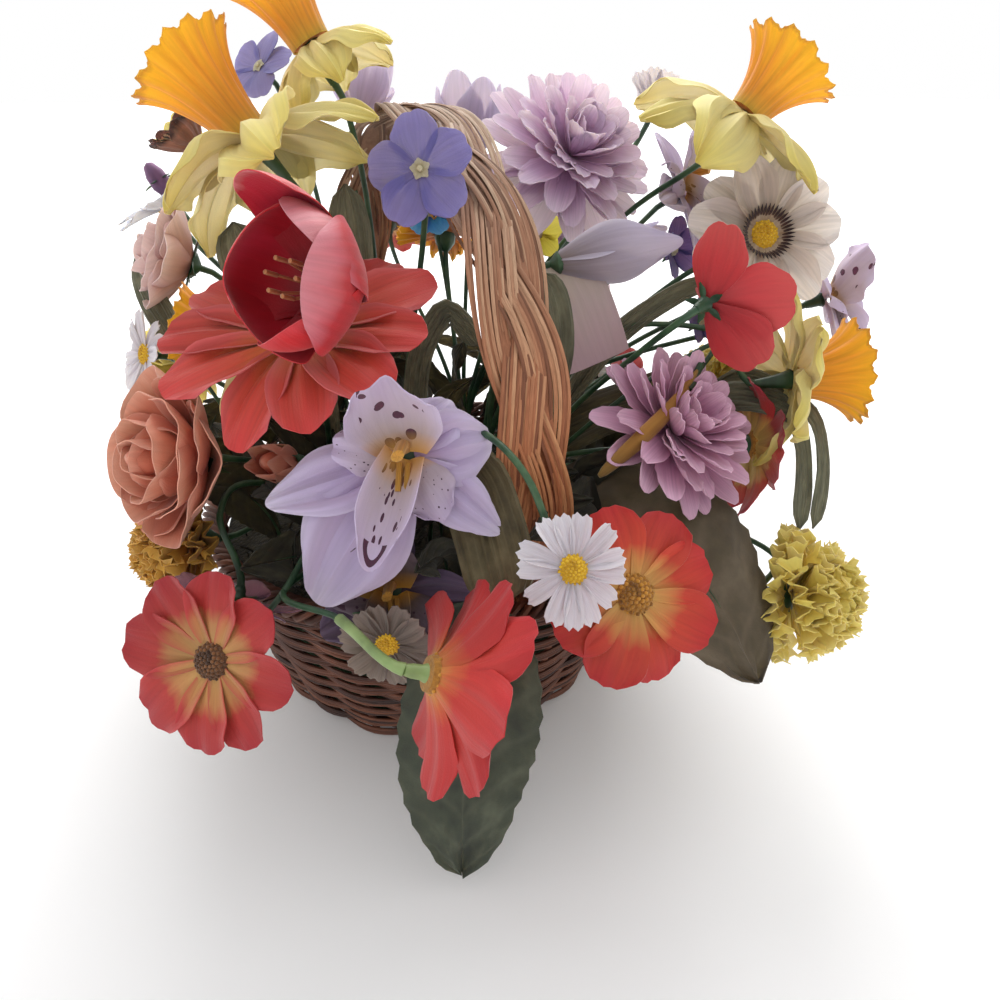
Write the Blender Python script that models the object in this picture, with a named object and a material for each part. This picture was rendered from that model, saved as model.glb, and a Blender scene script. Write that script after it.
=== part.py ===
"""Silk flower arrangement in a round wicker basket with a tall plaited handle.

Metres, +Z up. The origin is the centre of the basket's flat base. The handle stands in the YZ plane.
A bearing is an angle in degrees seen from above, 0 towards -Y and 90 towards +X.
"""

from collections import namedtuple
from math import cos, pi, radians, sin

import bmesh
import bpy
from mathutils import Euler, Vector

# Clearance kept between pieces that touch
GAP = 0.0003

# Basket
BASE_THICKNESS = 0.008
FOOT_RADIUS = 0.105
WALL_TOP_RADIUS = 0.129
WALL_HEIGHT = 0.0915
WALL_THICKNESS = 0.006
RIM_ROD_RADIUS = 0.006
RIM_ROD_SIDES = 8
ROUND_SEGMENTS = 36

# Handle: a flat plaited band that bows out above the rim
HANDLE_TOP = 0.300
HANDLE_WIDTH = 0.034
HANDLE_THICKNESS = 0.009
HANDLE_REACH = 0.130
HANDLE_SPRING_HEIGHT = 0.150
HANDLE_BOW_REACH = 0.126
HANDLE_BOW_HEIGHT = 0.120
HANDLE_RIM_REACH = 0.112
HANDLE_FOOT_REACH = 0.101
HANDLE_FOOT_HEIGHT = 0.040
HANDLE_FOOT_WIDTH = 0.022
# The band's section as shares of its half width and half thickness, with broken corners
HANDLE_SECTION = ((-1, 0.5), (-0.8, 1), (0.8, 1), (1, 0.5), (1, -0.5), (0.8, -1), (-0.8, -1), (-1, -0.5))

# Floral foam that fills the basket
FOAM_EDGE_HEIGHT = 0.082
FOAM_CROWN_HEIGHT = 0.100
FOAM_SIDE_GAP = 0.003

# Stems
TRUNK_RADIUS = 0.0040
TRUNK_FOOT_HEIGHT = 0.040
TRUNK_TOP_HEIGHT = 0.112
TRUNK_SIDES = 8
STEM_RADIUS = 0.0017
STEM_SIDES = 5
STEM_SEGMENTS = 7
STEM_BEND_STEPS = 3
STEM_NECK = 0.006
# How far a stem rises and leans before it bends, and how early it turns to the bloom, as shares of its span
STEM_RISE = 0.40
STEM_LEAN = 0.10
STEM_TURN = 0.25
SOCKET_GAP = 0.0005
LEAF_STALK = 0.0016
LEAF_THICKNESS = 0.0018
LEAF_STEPS = 3
# How far a blade's edges fold up from its rib and how wide its tip is, as shares of its half width
LEAF_FOLD = 0.12
LEAF_TIP = 0.12

Spray = namedtuple("Spray", "bearing reach")
SPRAYS = {
    "spray_front": Spray(-42, 0.050),
    "spray_left": Spray(-85, 0.060),
    "spray_top_left": Spray(-115, 0.025),
    "spray_right": Spray(14, 0.050),
    "spray_top_right": Spray(85, 0.030),
    "spray_back_left": Spray(-150, 0.060),
    "spray_back_right": Spray(140, 0.060),
}

# Each bloom: its kind, radius, the spray that carries it, its place (bearing, reach, height)
# and the way it faces (bearing, elevation)
Bloom = namedtuple("Bloom", "kind radius spray bearing reach height faces tilt")
BLOOMS = {
    "daffodil_left": Bloom("daffodil", 0.040, "spray_top_left", -83, 0.081, 0.289, -125, 48),
    "daffodil_top": Bloom("daffodil", 0.034, "spray_top_left", -106, 0.048, 0.322, -120, 60),
    "periwinkle_back": Bloom("five_petal", 0.022, "spray_back_left", -159, 0.128, 0.316, -60, 40),
    "gazania_left": Bloom("daisy", 0.026, "spray_top_left", -124, 0.119, 0.287, -115, 45),
    "rose_upper_left": Bloom("ball", 0.026, "spray_top_left", -112, 0.130, 0.240, -95, 25),
    "periwinkle_front": Bloom("five_petal", 0.020, "spray_front", -18, 0.083, 0.281, -28, 20),
    "tulip_red": Bloom("tulip", 0.0245, "spray_front", -38, 0.132, 0.253, -50, 22),
    "orchid_front": Bloom("orchid", 0.033, "spray_front", -25, 0.136, 0.185, -28, 20),
    "rosebud": Bloom("bud", 0.012, "spray_front", -56, 0.112, 0.165, -50, 30),
    "orchid_low": Bloom("orchid", 0.028, "spray_front", -27, 0.133, 0.124, -25, 25),
    "daisy_low": Bloom("daisy", 0.019, "spray_front", -27, 0.156, 0.114, -30, 10),
    "gerbera_low": Bloom("daisy", 0.034, "spray_front", -20, 0.196, 0.132, 80, -25),
    "daisy_front": Bloom("daisy", 0.022, "spray_front", -4, 0.177, 0.158, -8, 35),
    "zinnia_red": Bloom("daisy", 0.045, "spray_left", -46, 0.107, 0.222, -40, 65),
    "daffodil_low_left": Bloom("daffodil", 0.036, "spray_left", -89, 0.096, 0.214, -110, 12),
    "rose_left": Bloom("ball", 0.029, "spray_left", -69, 0.152, 0.174, -66, 20),
    "carnation_left": Bloom("ball", 0.025, "spray_left", -72, 0.148, 0.125, -70, 15),
    "daisy_left": Bloom("daisy", 0.022, "spray_left", -104, 0.141, 0.191, -70, 20),
    "gerbera_left": Bloom("daisy", 0.032, "spray_front", -49, 0.183, 0.117, -42, 28),
    "violet_low": Bloom("five_petal", 0.020, "spray_front", -55, 0.154, 0.115, -50, -60),
    "gerbera_right": Bloom("daisy", 0.034, "spray_right", 7, 0.174, 0.134, -10, 35),
    "mum_mauve": Bloom("mum", 0.037, "spray_right", 31, 0.142, 0.172, 25, 45),
    "carnation_right": Bloom("ball", 0.028, "spray_right", 33, 0.214, 0.104, 30, 20),
    "gaillardia": Bloom("daisy", 0.028, "spray_right", 45, 0.172, 0.156, 75, -5),
    "daffodil_low_right": Bloom("daffodil", 0.034, "spray_right", 46, 0.193, 0.191, 65, 8),
    "anemone_red": Bloom("five_petal", 0.026, "spray_right", 32, 0.155, 0.231, 110, 10),
    "mum_pink": Bloom("mum", 0.044, "spray_top_right", 86, 0.078, 0.280, 5, 45),
    "tulip_white": Bloom("tulip", 0.022, "spray_right", 47, 0.090, 0.240, 65, 12),
    "daffodil_right": Bloom("daffodil", 0.037, "spray_top_right", 62, 0.154, 0.296, 78, 48),
    "gazania_right": Bloom("daisy", 0.031, "spray_top_right", 58, 0.165, 0.247, -20, 25),
    "orchid_upper": Bloom("orchid", 0.028, "spray_top_right", 82, 0.142, 0.260, 40, 35),
    "orchid_right": Bloom("orchid", 0.030, "spray_top_right", 64, 0.206, 0.215, 50, 25),
    "violet_right": Bloom("five_petal", 0.018, "spray_top_right", 76, 0.133, 0.232, 20, 10),
    "tulip_lilac": Bloom("tulip", 0.024, "spray_back_right", 142, 0.103, 0.300, 150, 70),
    "daisy_top": Bloom("daisy", 0.022, "spray_back_right", 99, 0.153, 0.298, 120, 50),
    "mum_back": Bloom("mum", 0.038, "spray_back_right", 120, 0.155, 0.215, 115, 30),
    "rose_back": Bloom("ball", 0.030, "spray_back_left", -167, 0.168, 0.156, -165, 25),
    "marigold_back": Bloom("ball", 0.025, "spray_back_right", 153, 0.112, 0.232, 160, 60),
    "gerbera_back": Bloom("daisy", 0.028, "spray_back_right", 169, 0.153, 0.224, 165, 45),
    "carnation_back": Bloom("ball", 0.030, "spray_back_left", -135, 0.165, 0.165, -135, 20),
}

# Stems that bend round a neighbour pass through these points (bearing, reach, height)
STEM_BENDS = {
    "gerbera_low": ((-45, 0.128, 0.146), (-33, 0.164, 0.141)),
    "violet_low": ((-64, 0.112, 0.150), (-60, 0.140, 0.150)),
    "daisy_front": ((-19, 0.085, 0.165), (-11.5, 0.126, 0.193), (-6.5, 0.156, 0.186)),
    "daisy_low": ((-42, 0.100, 0.130), (-41, 0.138, 0.126)),
    "gerbera_left": ((-44, 0.110, 0.138), (-43, 0.155, 0.132)),
    "gerbera_right": ((14, 0.085, 0.122), (11, 0.132, 0.115)),
    "carnation_right": ((28, 0.090, 0.124), (42, 0.150, 0.114), (40, 0.195, 0.106)),
    "daffodil_low_right": ((55, 0.080, 0.190), (52, 0.145, 0.206)),
    "anemone_red": ((36, 0.085, 0.165), (30, 0.122, 0.205)),
    "gazania_right": ((72, 0.080, 0.170), (66, 0.130, 0.220)),
    "daffodil_right": ((90, 0.050, 0.180), (80, 0.105, 0.245)),
}

# Blooms with a gap between petals that a stem of this spray passes through
PASSED_THROUGH = {
    "zinnia_red": "spray_front",
}

# Each leaf: its spine as (bearing, reach, height) from inside the foam to the tip, how many of the
# spine's spans are bare stalk, half the blade's width, and the way its face looks (bearing, elevation)
Leaf = namedtuple("Leaf", "spine stalk half_width faces tilt")
LEAVES = {
    "leaf_hanging": Leaf(
        ((-10, 0.085, 0.070), (-10, 0.118, 0.118), (-14, 0.158, 0.102), (-17, 0.178, 0.060),
         (-18, 0.190, 0.010)),
        1.5, 0.026, -20, 20,
    ),
    "leaf_broad_right": Leaf(
        ((24, 0.085, 0.070), (22, 0.115, 0.120), (21, 0.150, 0.136), (21, 0.186, 0.116),
         (20, 0.213, 0.087)),
        0.9, 0.035, 5, 40,
    ),
    "leaf_ribbed": Leaf(
        ((-24, 0.060, 0.075), (-19, 0.088, 0.142), (-13, 0.124, 0.172), (-11, 0.146, 0.160),
         (-9.5, 0.158, 0.132)),
        2.0, 0.012, -20, 20,
    ),
    "leaf_dark": Leaf(
        ((40, 0.030, 0.075), (36, 0.062, 0.132), (38, 0.095, 0.163), (47, 0.125, 0.174),
         (56, 0.150, 0.178)),
        1.0, 0.011, 10, 45,
    ),
    "leaf_olive": Leaf(
        ((-2, 0.072, 0.075), (8, 0.082, 0.150), (18, 0.088, 0.188), (20, 0.088, 0.215), (16, 0.085, 0.240)),
        1.0, 0.011, 15, 20,
    ),
    "leaf_strap_left": Leaf(
        ((-65, 0.035, 0.075), (-60, 0.045, 0.160), (-58, 0.050, 0.210), (-58, 0.050, 0.245),
         (-60, 0.048, 0.272)),
        0.8, 0.007, -30, 10,
    ),
    "leaf_back_left": Leaf(
        ((-160, 0.080, 0.070), (-158, 0.118, 0.125), (-155, 0.155, 0.130), (-152, 0.185, 0.100),
         (-150, 0.198, 0.065)),
        0.8, 0.028, -155, 45,
    ),
    "leaf_back_right": Leaf(
        ((110, 0.080, 0.070), (108, 0.118, 0.130), (105, 0.155, 0.135), (103, 0.185, 0.105),
         (102, 0.198, 0.070)),
        0.8, 0.028, 105, 45,
    ),
}


def clear_scene():
    for thing in list(bpy.data.objects):
        bpy.data.objects.remove(thing)


def place(bearing, reach, height):
    """The point at this bearing, distance from the basket's axis and height above its base."""
    turn = radians(bearing)
    return Vector((reach * sin(turn), -reach * cos(turn), height))


def direction(bearing, elevation):
    level = cos(radians(elevation))
    return place(bearing, level, sin(radians(elevation)))


def make_material(name, colour, roughness):
    material = bpy.data.materials.new(name)
    material.use_nodes = True
    shader = material.node_tree.nodes["Principled BSDF"]
    shader.inputs["Base Color"].default_value = (*colour, 1)
    shader.inputs["Roughness"].default_value = roughness
    shader.inputs["Metallic"].default_value = 0
    return material


def add_object(name, mesh, colour, roughness=0.7):
    thing = bpy.data.objects.new(name, mesh)
    thing.data.materials.append(make_material(name, colour, roughness))
    bpy.context.scene.collection.objects.link(thing)
    mesh.shade_smooth()
    mesh.set_sharp_from_angle(angle=radians(40))
    return thing


def ring_mesh(name, shells):
    """A mesh of closed shells. Each shell is a row of rings of points, skinned and capped at both ends,
    or joined end to start when its first ring is also its last."""
    bm = bmesh.new()
    for rings in shells:
        looped = rings[0] is rings[-1]
        rows = [[bm.verts.new(point) for point in ring] for ring in (rings[:-1] if looped else rings)]
        if looped:
            rows.append(rows[0])
        for low, high in zip(rows, rows[1:]):
            for i in range(len(low)):
                j = (i + 1) % len(low)
                bm.faces.new((low[i], low[j], high[j], high[i]))
        if not looped:
            bm.faces.new(list(reversed(rows[0])))
            bm.faces.new(rows[-1])
    bmesh.ops.recalc_face_normals(bm, faces=bm.faces)
    mesh = bpy.data.meshes.new(name)
    bm.to_mesh(mesh)
    bm.free()
    return mesh


def turned_rings(profile, segments, lobes=None):
    """Rings round +Z for a profile of (radius, height, share). The share says how far the ring follows
    the lobes, a list of one factor for each segment."""
    rings = []
    for radius, height, share in profile:
        ring = []
        for i in range(segments):
            factor = 1 + share * (lobes[i] - 1) if lobes else 1
            turn = 2 * pi * i / segments
            ring.append(Vector((radius * factor * cos(turn), radius * factor * sin(turn), height)))
        rings.append(ring)
    return rings


def tube_rings(points, radii, sides):
    """Rings along a path, each turned square to it, with no twist from one to the next."""
    rings = []
    across = None
    for i, point in enumerate(points):
        along = (points[min(i + 1, len(points) - 1)] - points[max(i - 1, 0)]).normalized()
        across = along.orthogonal() if across is None else across - along * across.dot(along)
        across.normalize()
        upward = along.cross(across)
        rings.append(
            [
                point + radii[i] * (cos(2 * pi * k / sides) * across + sin(2 * pi * k / sides) * upward)
                for k in range(sides)
            ]
        )
    return rings


def smooth_path(knots, steps):
    """Points on a smooth curve through the knots, with this many steps between each two."""
    path = []
    last = len(knots) - 1
    for i in range(last):
        before = knots[max(i - 1, 0)]
        start, end = knots[i], knots[i + 1]
        after = knots[min(i + 2, last)]
        for k in range(steps):
            t = k / steps
            path.append(
                0.5
                * (
                    2 * start
                    + (end - before) * t
                    + (2 * before - 5 * start + 4 * end - after) * t**2
                    + (3 * start - before - 3 * end + after) * t**3
                )
            )
    path.append(knots[last])
    return path


def boolean_mesh(body, cutter_mesh, operation):
    """The object's mesh joined with, or cut by, shells in world space that may cross each other."""
    cutter = bpy.data.objects.new("cutter", cutter_mesh)
    cutter.hide_render = True
    cutter.display_type = "WIRE"
    bpy.context.scene.collection.objects.link(cutter)
    boolean = body.modifiers.new("boolean", "BOOLEAN")
    boolean.operation = operation
    boolean.solver = "EXACT"
    boolean.use_self = True
    boolean.object = cutter
    view = bpy.context.evaluated_depsgraph_get()
    result = bpy.data.meshes.new_from_object(body.evaluated_get(view))
    body.modifiers.remove(boolean)
    body.data = result
    bpy.data.objects.remove(cutter)


# Basket


def wall_radius(height):
    """The outer radius of the leaning wall at a height."""
    return FOOT_RADIUS + (WALL_TOP_RADIUS - FOOT_RADIUS) * height / WALL_HEIGHT


def build_basket():
    inner_foot = FOOT_RADIUS - WALL_THICKNESS
    base_radius = inner_foot - GAP
    base = turned_rings(((base_radius, 0, 0), (base_radius, BASE_THICKNESS, 0)), ROUND_SEGMENTS)
    add_object("basket_base", ring_mesh("basket_base", [base]), (0.16, 0.07, 0.04))

    profile = (
        (FOOT_RADIUS, 0, 0),
        (wall_radius(WALL_HEIGHT / 2), WALL_HEIGHT / 2, 0),
        (WALL_TOP_RADIUS, WALL_HEIGHT, 0),
        (WALL_TOP_RADIUS - WALL_THICKNESS, WALL_HEIGHT, 0),
        (wall_radius(WALL_HEIGHT / 2) - WALL_THICKNESS, WALL_HEIGHT / 2, 0),
        (inner_foot, 0, 0),
    )
    rings = turned_rings(profile, ROUND_SEGMENTS)
    rings.append(rings[0])
    add_object("basket_wall", ring_mesh("basket_wall", [rings]), (0.15, 0.06, 0.04))

    rim_height = WALL_HEIGHT + GAP + RIM_ROD_RADIUS
    rim_reach = WALL_TOP_RADIUS - WALL_THICKNESS / 2
    corner_reach = RIM_ROD_RADIUS / cos(pi / RIM_ROD_SIDES)
    profile = [
        (
            rim_reach + corner_reach * cos(2 * pi * (k + 0.5) / RIM_ROD_SIDES),
            rim_height + corner_reach * sin(2 * pi * (k + 0.5) / RIM_ROD_SIDES),
            0,
        )
        for k in range(RIM_ROD_SIDES)
    ]
    rings = turned_rings(profile, ROUND_SEGMENTS)
    rings.append(rings[0])
    add_object("basket_rim", ring_mesh("basket_rim", [rings]), (0.17, 0.08, 0.05))


def handle_path():
    """The handle's centre line, from the front foot over the top to the back foot."""
    side = [
        (HANDLE_FOOT_REACH, HANDLE_FOOT_HEIGHT),
        (HANDLE_RIM_REACH, WALL_HEIGHT + RIM_ROD_RADIUS),
        (HANDLE_BOW_REACH, HANDLE_BOW_HEIGHT),
    ]
    arch_rise = HANDLE_TOP - HANDLE_SPRING_HEIGHT
    for degrees in (0, 15, 30, 45, 60, 75):
        turn = radians(degrees)
        side.append((HANDLE_REACH * cos(turn), HANDLE_SPRING_HEIGHT + arch_rise * sin(turn)))
    front = [Vector((0, -reach, height)) for reach, height in side]
    back = [Vector((0, reach, height)) for reach, height in reversed(side)]
    return front + [Vector((0, 0, HANDLE_TOP))] + back


def handle_rings(margin):
    """Rectangular rings along the handle, narrower at the feet, grown by a margin on every side."""
    points = handle_path()
    rings = []
    for i, point in enumerate(points):
        along = (points[min(i + 1, len(points) - 1)] - points[max(i - 1, 0)]).normalized()
        outward = along.cross(Vector((1, 0, 0)))
        rise = min(1, max(0, (point.z - HANDLE_FOOT_HEIGHT) / (HANDLE_SPRING_HEIGHT - HANDLE_FOOT_HEIGHT)))
        half_width = (HANDLE_FOOT_WIDTH + (HANDLE_WIDTH - HANDLE_FOOT_WIDTH) * rise) / 2 + margin
        half_depth = HANDLE_THICKNESS / 2 + margin
        centre = point.copy()
        if i in (0, len(points) - 1):
            centre -= Vector((0, 0, margin))
        rings.append(
            [
                centre + Vector((half_width * across, 0, 0)) + outward * half_depth * deep
                for across, deep in HANDLE_SECTION
            ]
        )
    return rings


def build_handle():
    add_object("handle", ring_mesh("handle", [handle_rings(0)]), (0.42, 0.22, 0.11), 0.6)


# Stems and foam


def trunk_axis(spray):
    place_of = SPRAYS[spray]
    return (
        place(place_of.bearing, place_of.reach, TRUNK_FOOT_HEIGHT),
        place(place_of.bearing, place_of.reach, TRUNK_TOP_HEIGHT),
    )


def bloom_back(bloom):
    """Where a bloom's stem ends, just behind its calyx."""
    calyx_depth = -KINDS[bloom.kind](bloom.radius)[0][0][1] + SOCKET_GAP
    return place(bloom.bearing, bloom.reach, bloom.height) - direction(bloom.faces, bloom.tilt) * calyx_depth


def stem_path(name):
    """A bowed path from inside the top of the spray's trunk to the back of the bloom."""
    bloom = BLOOMS[name]
    start = trunk_axis(bloom.spray)[1] - Vector((0, 0, 2 * TRUNK_RADIUS))
    end = bloom_back(bloom)
    facing = direction(bloom.faces, bloom.tilt)
    neck = end - facing * STEM_NECK
    if name in STEM_BENDS:
        bends = [place(*bend) for bend in STEM_BENDS[name]]
        return smooth_path([start, *bends, neck], STEM_BEND_STEPS) + [end]
    span = (neck - start).length
    outward = neck - start
    outward.z = 0
    leave = start + Vector((0, 0, STEM_RISE * span)) + STEM_LEAN * outward
    arrive = neck - (facing + (neck - start).normalized()).normalized() * STEM_TURN * span
    path = []
    for k in range(STEM_SEGMENTS):
        t = k / (STEM_SEGMENTS - 1)
        first_half = (1 - t) ** 3 * start + 3 * (1 - t) ** 2 * t * leave
        path.append(first_half + 3 * (1 - t) * t**2 * arrive + t**3 * neck)
    return path + [end]


def stem_shells(spray, margin):
    """The spray's stems, grown by a margin."""
    paths = [stem_path(name) for name, bloom in BLOOMS.items() if bloom.spray == spray]
    return [tube_rings(path, [STEM_RADIUS + margin] * len(path), STEM_SIDES) for path in paths]


def trunk_shell(spray, margin):
    foot, top = trunk_axis(spray)
    drop = Vector((0, 0, margin))
    return tube_rings([foot - drop, top + drop], [TRUNK_RADIUS + margin] * 2, TRUNK_SIDES)


def build_sprays():
    for spray in SPRAYS:
        bush = add_object(spray, ring_mesh(spray, [trunk_shell(spray, 0)]), (0.10, 0.20, 0.07), 0.5)
        boolean_mesh(bush, ring_mesh("stems", stem_shells(spray, 0)), "UNION")


def foam_radius(height):
    return wall_radius(height) - WALL_THICKNESS - FOAM_SIDE_GAP


def build_foam():
    foot = BASE_THICKNESS + GAP
    profile = (
        (foam_radius(foot), foot, 0),
        (foam_radius(FOAM_EDGE_HEIGHT), FOAM_EDGE_HEIGHT, 0),
        (0.75 * foam_radius(FOAM_EDGE_HEIGHT), 0.5 * (FOAM_EDGE_HEIGHT + FOAM_CROWN_HEIGHT), 0),
        (0.35 * foam_radius(FOAM_EDGE_HEIGHT), FOAM_CROWN_HEIGHT, 0),
    )
    foam = ring_mesh("floral_foam", [turned_rings(profile, ROUND_SEGMENTS)])
    block = add_object("floral_foam", foam, (0.05, 0.11, 0.05), 0.95)
    holes = [trunk_shell(spray, GAP) for spray in SPRAYS]
    holes += [leaf_rings(leaf, GAP) for leaf in LEAVES.values()]
    holes.append(handle_rings(GAP))
    boolean_mesh(block, ring_mesh("holes", holes), "DIFFERENCE")


# Leaves


def leaf_rings(leaf, margin):
    """Flat rings along a leaf's spine: a thin stalk, then a blade with a raised rib. The margin grows it."""
    points = smooth_path([place(*knot) for knot in leaf.spine], LEAF_STEPS)
    face = direction(leaf.faces, leaf.tilt)
    last = len(points) - 1
    blade_start = leaf.stalk * LEAF_STEPS
    rings = []
    for i, point in enumerate(points):
        along = (points[min(i + 1, last)] - points[max(i - 1, 0)]).normalized()
        normal = (face - along * face.dot(along)).normalized()
        across = along.cross(normal)
        way = (i - blade_start) / (last - blade_start)
        blade = leaf.half_width * sin(pi * way**0.8) ** 0.7 if 0 < way < 1 else 0
        if i == last:
            blade = LEAF_TIP * leaf.half_width
        if blade > LEAF_STALK:
            half, thick, fold = blade + margin, LEAF_THICKNESS / 2 + margin, LEAF_FOLD * blade
        else:
            half, thick, fold = LEAF_STALK + margin, LEAF_STALK + margin, 0
        centre = point - along * margin if i == 0 else point
        rings.append(
            [
                centre + across * half * side + normal * (thick * lift + fold * abs(side))
                for side, lift in ((-1, 0), (-0.5, 1), (0.5, 1), (1, 0), (0.5, -1), (-0.5, -1))
            ]
        )
    return rings


def build_leaves():
    for name, leaf in LEAVES.items():
        add_object(name, ring_mesh(name, [leaf_rings(leaf, 0)]), (0.09, 0.13, 0.06), 0.7)


# Blooms: each kind gives its turned profile, from the calyx round the petals to the centre,
# and one lobe factor for each segment


def daisy_shape(radius):
    profile = (
        (0.12 * radius, -0.28 * radius, 0),
        (0.95 * radius, 0.00 * radius, 1),
        (1.00 * radius, 0.08 * radius, 1),
        (0.30 * radius, 0.04 * radius, 0),
        (0.20 * radius, 0.14 * radius, 0),
        (0.06 * radius, 0.16 * radius, 0),
    )
    return profile, [1, 0.72] * 7


def five_petal_shape(radius):
    profile = (
        (0.12 * radius, -0.30 * radius, 0),
        (0.95 * radius, 0.02 * radius, 1),
        (1.00 * radius, 0.10 * radius, 1),
        (0.22 * radius, 0.06 * radius, 0),
        (0.08 * radius, 0.14 * radius, 0),
    )
    return profile, [1, 0.94, 0.62, 0.94] * 5


def orchid_shape(radius):
    profile = (
        (0.06 * radius, -0.30 * radius, 0),
        (0.16 * radius, -0.14 * radius, 0),
        (0.95 * radius, -0.04 * radius, 1),
        (1.00 * radius, 0.06 * radius, 1),
        (0.34 * radius, 0.06 * radius, 0),
        (0.26 * radius, 0.34 * radius, 0),
        (0.08 * radius, 0.42 * radius, 0),
    )
    lobes = [0.98, 0.55, 0.95, 1, 0.95, 0.55, 0.98, 0.9, 0.55, 0.98, 1.05, 1.12, 1.12, 1.05, 0.55, 0.9]
    return profile, lobes


def daffodil_shape(radius):
    profile = (
        (0.08 * radius, -0.52 * radius, 0),
        (0.15 * radius, -0.30 * radius, 0),
        (0.95 * radius, -0.34 * radius, 1),
        (1.00 * radius, -0.28 * radius, 1),
        (0.22 * radius, 0.00 * radius, 0),
        (0.24 * radius, 0.40 * radius, 0),
        (0.46 * radius, 0.76 * radius, 0),
        (0.38 * radius, 0.74 * radius, 0),
        (0.16 * radius, 0.36 * radius, 0),
    )
    return profile, [1, 0.5] * 6


def tulip_shape(radius):
    profile = (
        (0.12 * radius, -1.10 * radius, 0),
        (0.70 * radius, -0.85 * radius, 0),
        (1.00 * radius, 0.00 * radius, 0),
        (0.90 * radius, 0.85 * radius, 0),
        (0.76 * radius, 0.85 * radius, 0),
        (0.70 * radius, 0.00 * radius, 0),
        (0.20 * radius, -0.40 * radius, 0),
    )
    return profile, [1] * 12


def ball_shape(radius):
    profile = (
        (0.10 * radius, -0.75 * radius, 0),
        (0.55 * radius, -0.55 * radius, 0),
        (0.95 * radius, -0.15 * radius, 0),
        (0.97 * radius, 0.15 * radius, 0),
        (0.70 * radius, 0.50 * radius, 0),
        (0.30 * radius, 0.65 * radius, 0),
    )
    return profile, [1] * 12


def mum_shape(radius):
    profile = (
        (0.08 * radius, -0.42 * radius, 0),
        (0.30 * radius, -0.30 * radius, 0),
        (0.95 * radius, -0.10 * radius, 1),
        (1.00 * radius, 0.05 * radius, 1),
        (0.70 * radius, 0.28 * radius, 0),
        (0.25 * radius, 0.36 * radius, 0),
    )
    return profile, [1, 0.88] * 7


def bud_shape(radius):
    profile = (
        (0.15 * radius, -1.50 * radius, 0),
        (0.80 * radius, -1.00 * radius, 0),
        (1.00 * radius, -0.10 * radius, 0),
        (0.65 * radius, 0.90 * radius, 0),
        (0.15 * radius, 1.40 * radius, 0),
    )
    return profile, [1] * 8


KINDS = {
    "daisy": daisy_shape,
    "five_petal": five_petal_shape,
    "orchid": orchid_shape,
    "daffodil": daffodil_shape,
    "tulip": tulip_shape,
    "ball": ball_shape,
    "mum": mum_shape,
    "bud": bud_shape,
}

BLOOM_COLOURS = {
    "daffodil": (0.80, 0.72, 0.30),
    "periwinkle": (0.17, 0.15, 0.38),
    "violet": (0.06, 0.03, 0.14),
    "gazania": (0.55, 0.42, 0.35),
    "rose": (0.50, 0.16, 0.13),
    "rosebud": (0.45, 0.15, 0.10),
    "tulip_red": (0.48, 0.01, 0.02),
    "tulip": (0.60, 0.55, 0.65),
    "orchid": (0.45, 0.38, 0.60),
    "daisy": (0.70, 0.65, 0.68),
    "gerbera": (0.58, 0.06, 0.02),
    "zinnia": (0.50, 0.04, 0.03),
    "anemone": (0.48, 0.02, 0.03),
    "gaillardia": (0.45, 0.05, 0.03),
    "carnation": (0.62, 0.45, 0.08),
    "marigold": (0.65, 0.16, 0.02),
    "mum": (0.55, 0.30, 0.50),
}


def bloom_colour(name):
    """The colour listed for the whole name, or else for its first word."""
    return BLOOM_COLOURS.get(name) or BLOOM_COLOURS[name.split("_")[0]]


def build_blooms():
    for name, bloom in BLOOMS.items():
        profile, lobes = KINDS[bloom.kind](bloom.radius)
        rings = turned_rings(profile, len(lobes), lobes)
        head = add_object(name, ring_mesh(name, [rings]), bloom_colour(name))
        head.location = place(bloom.bearing, bloom.reach, bloom.height)
        head.rotation_euler = Euler((radians(90 - bloom.tilt), 0, radians(bloom.faces)))
        if name in PASSED_THROUGH:
            boolean_mesh(head, ring_mesh("gap", stem_shells(PASSED_THROUGH[name], GAP)), "DIFFERENCE")


clear_scene()
build_basket()
build_handle()
build_foam()
build_sprays()
build_leaves()
build_blooms()
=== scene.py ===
import random
from collections import namedtuple
from math import cos, pi, radians, sin, sqrt

import bmesh
import bpy
from mathutils import Matrix, Vector, noise


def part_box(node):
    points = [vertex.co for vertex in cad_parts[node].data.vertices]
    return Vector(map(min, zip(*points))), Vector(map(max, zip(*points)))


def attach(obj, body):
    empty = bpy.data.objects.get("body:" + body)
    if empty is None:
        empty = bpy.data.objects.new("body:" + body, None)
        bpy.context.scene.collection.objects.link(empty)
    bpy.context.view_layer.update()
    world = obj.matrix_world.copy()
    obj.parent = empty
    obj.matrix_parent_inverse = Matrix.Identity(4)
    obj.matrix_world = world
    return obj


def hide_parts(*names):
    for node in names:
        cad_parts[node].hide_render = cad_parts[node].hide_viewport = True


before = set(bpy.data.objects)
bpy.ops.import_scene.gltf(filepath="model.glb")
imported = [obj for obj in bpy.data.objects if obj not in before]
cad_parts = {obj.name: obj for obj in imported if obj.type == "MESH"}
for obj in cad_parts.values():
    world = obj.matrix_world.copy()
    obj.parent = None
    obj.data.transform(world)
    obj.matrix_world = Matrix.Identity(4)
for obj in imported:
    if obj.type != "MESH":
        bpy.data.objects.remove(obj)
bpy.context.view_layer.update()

# ---------------------------------------------------------------- Camera, floor and light
# The basket stands on a pale floor in a light room: a broad window behind it and above, which
# shines through the cloth at the top, and a weak fill from the front.

camera = bpy.data.objects.new("camera", bpy.data.cameras.new("camera"))
camera.data.lens = 26
camera.data.sensor_width = 36
camera.location = (-0.1245, -0.3612, 0.310)
camera.rotation_euler = (radians(60), 0, radians(-25))
bpy.context.scene.collection.objects.link(camera)
bpy.context.scene.camera = camera

FLOOR_HALF = 16.0


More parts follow.
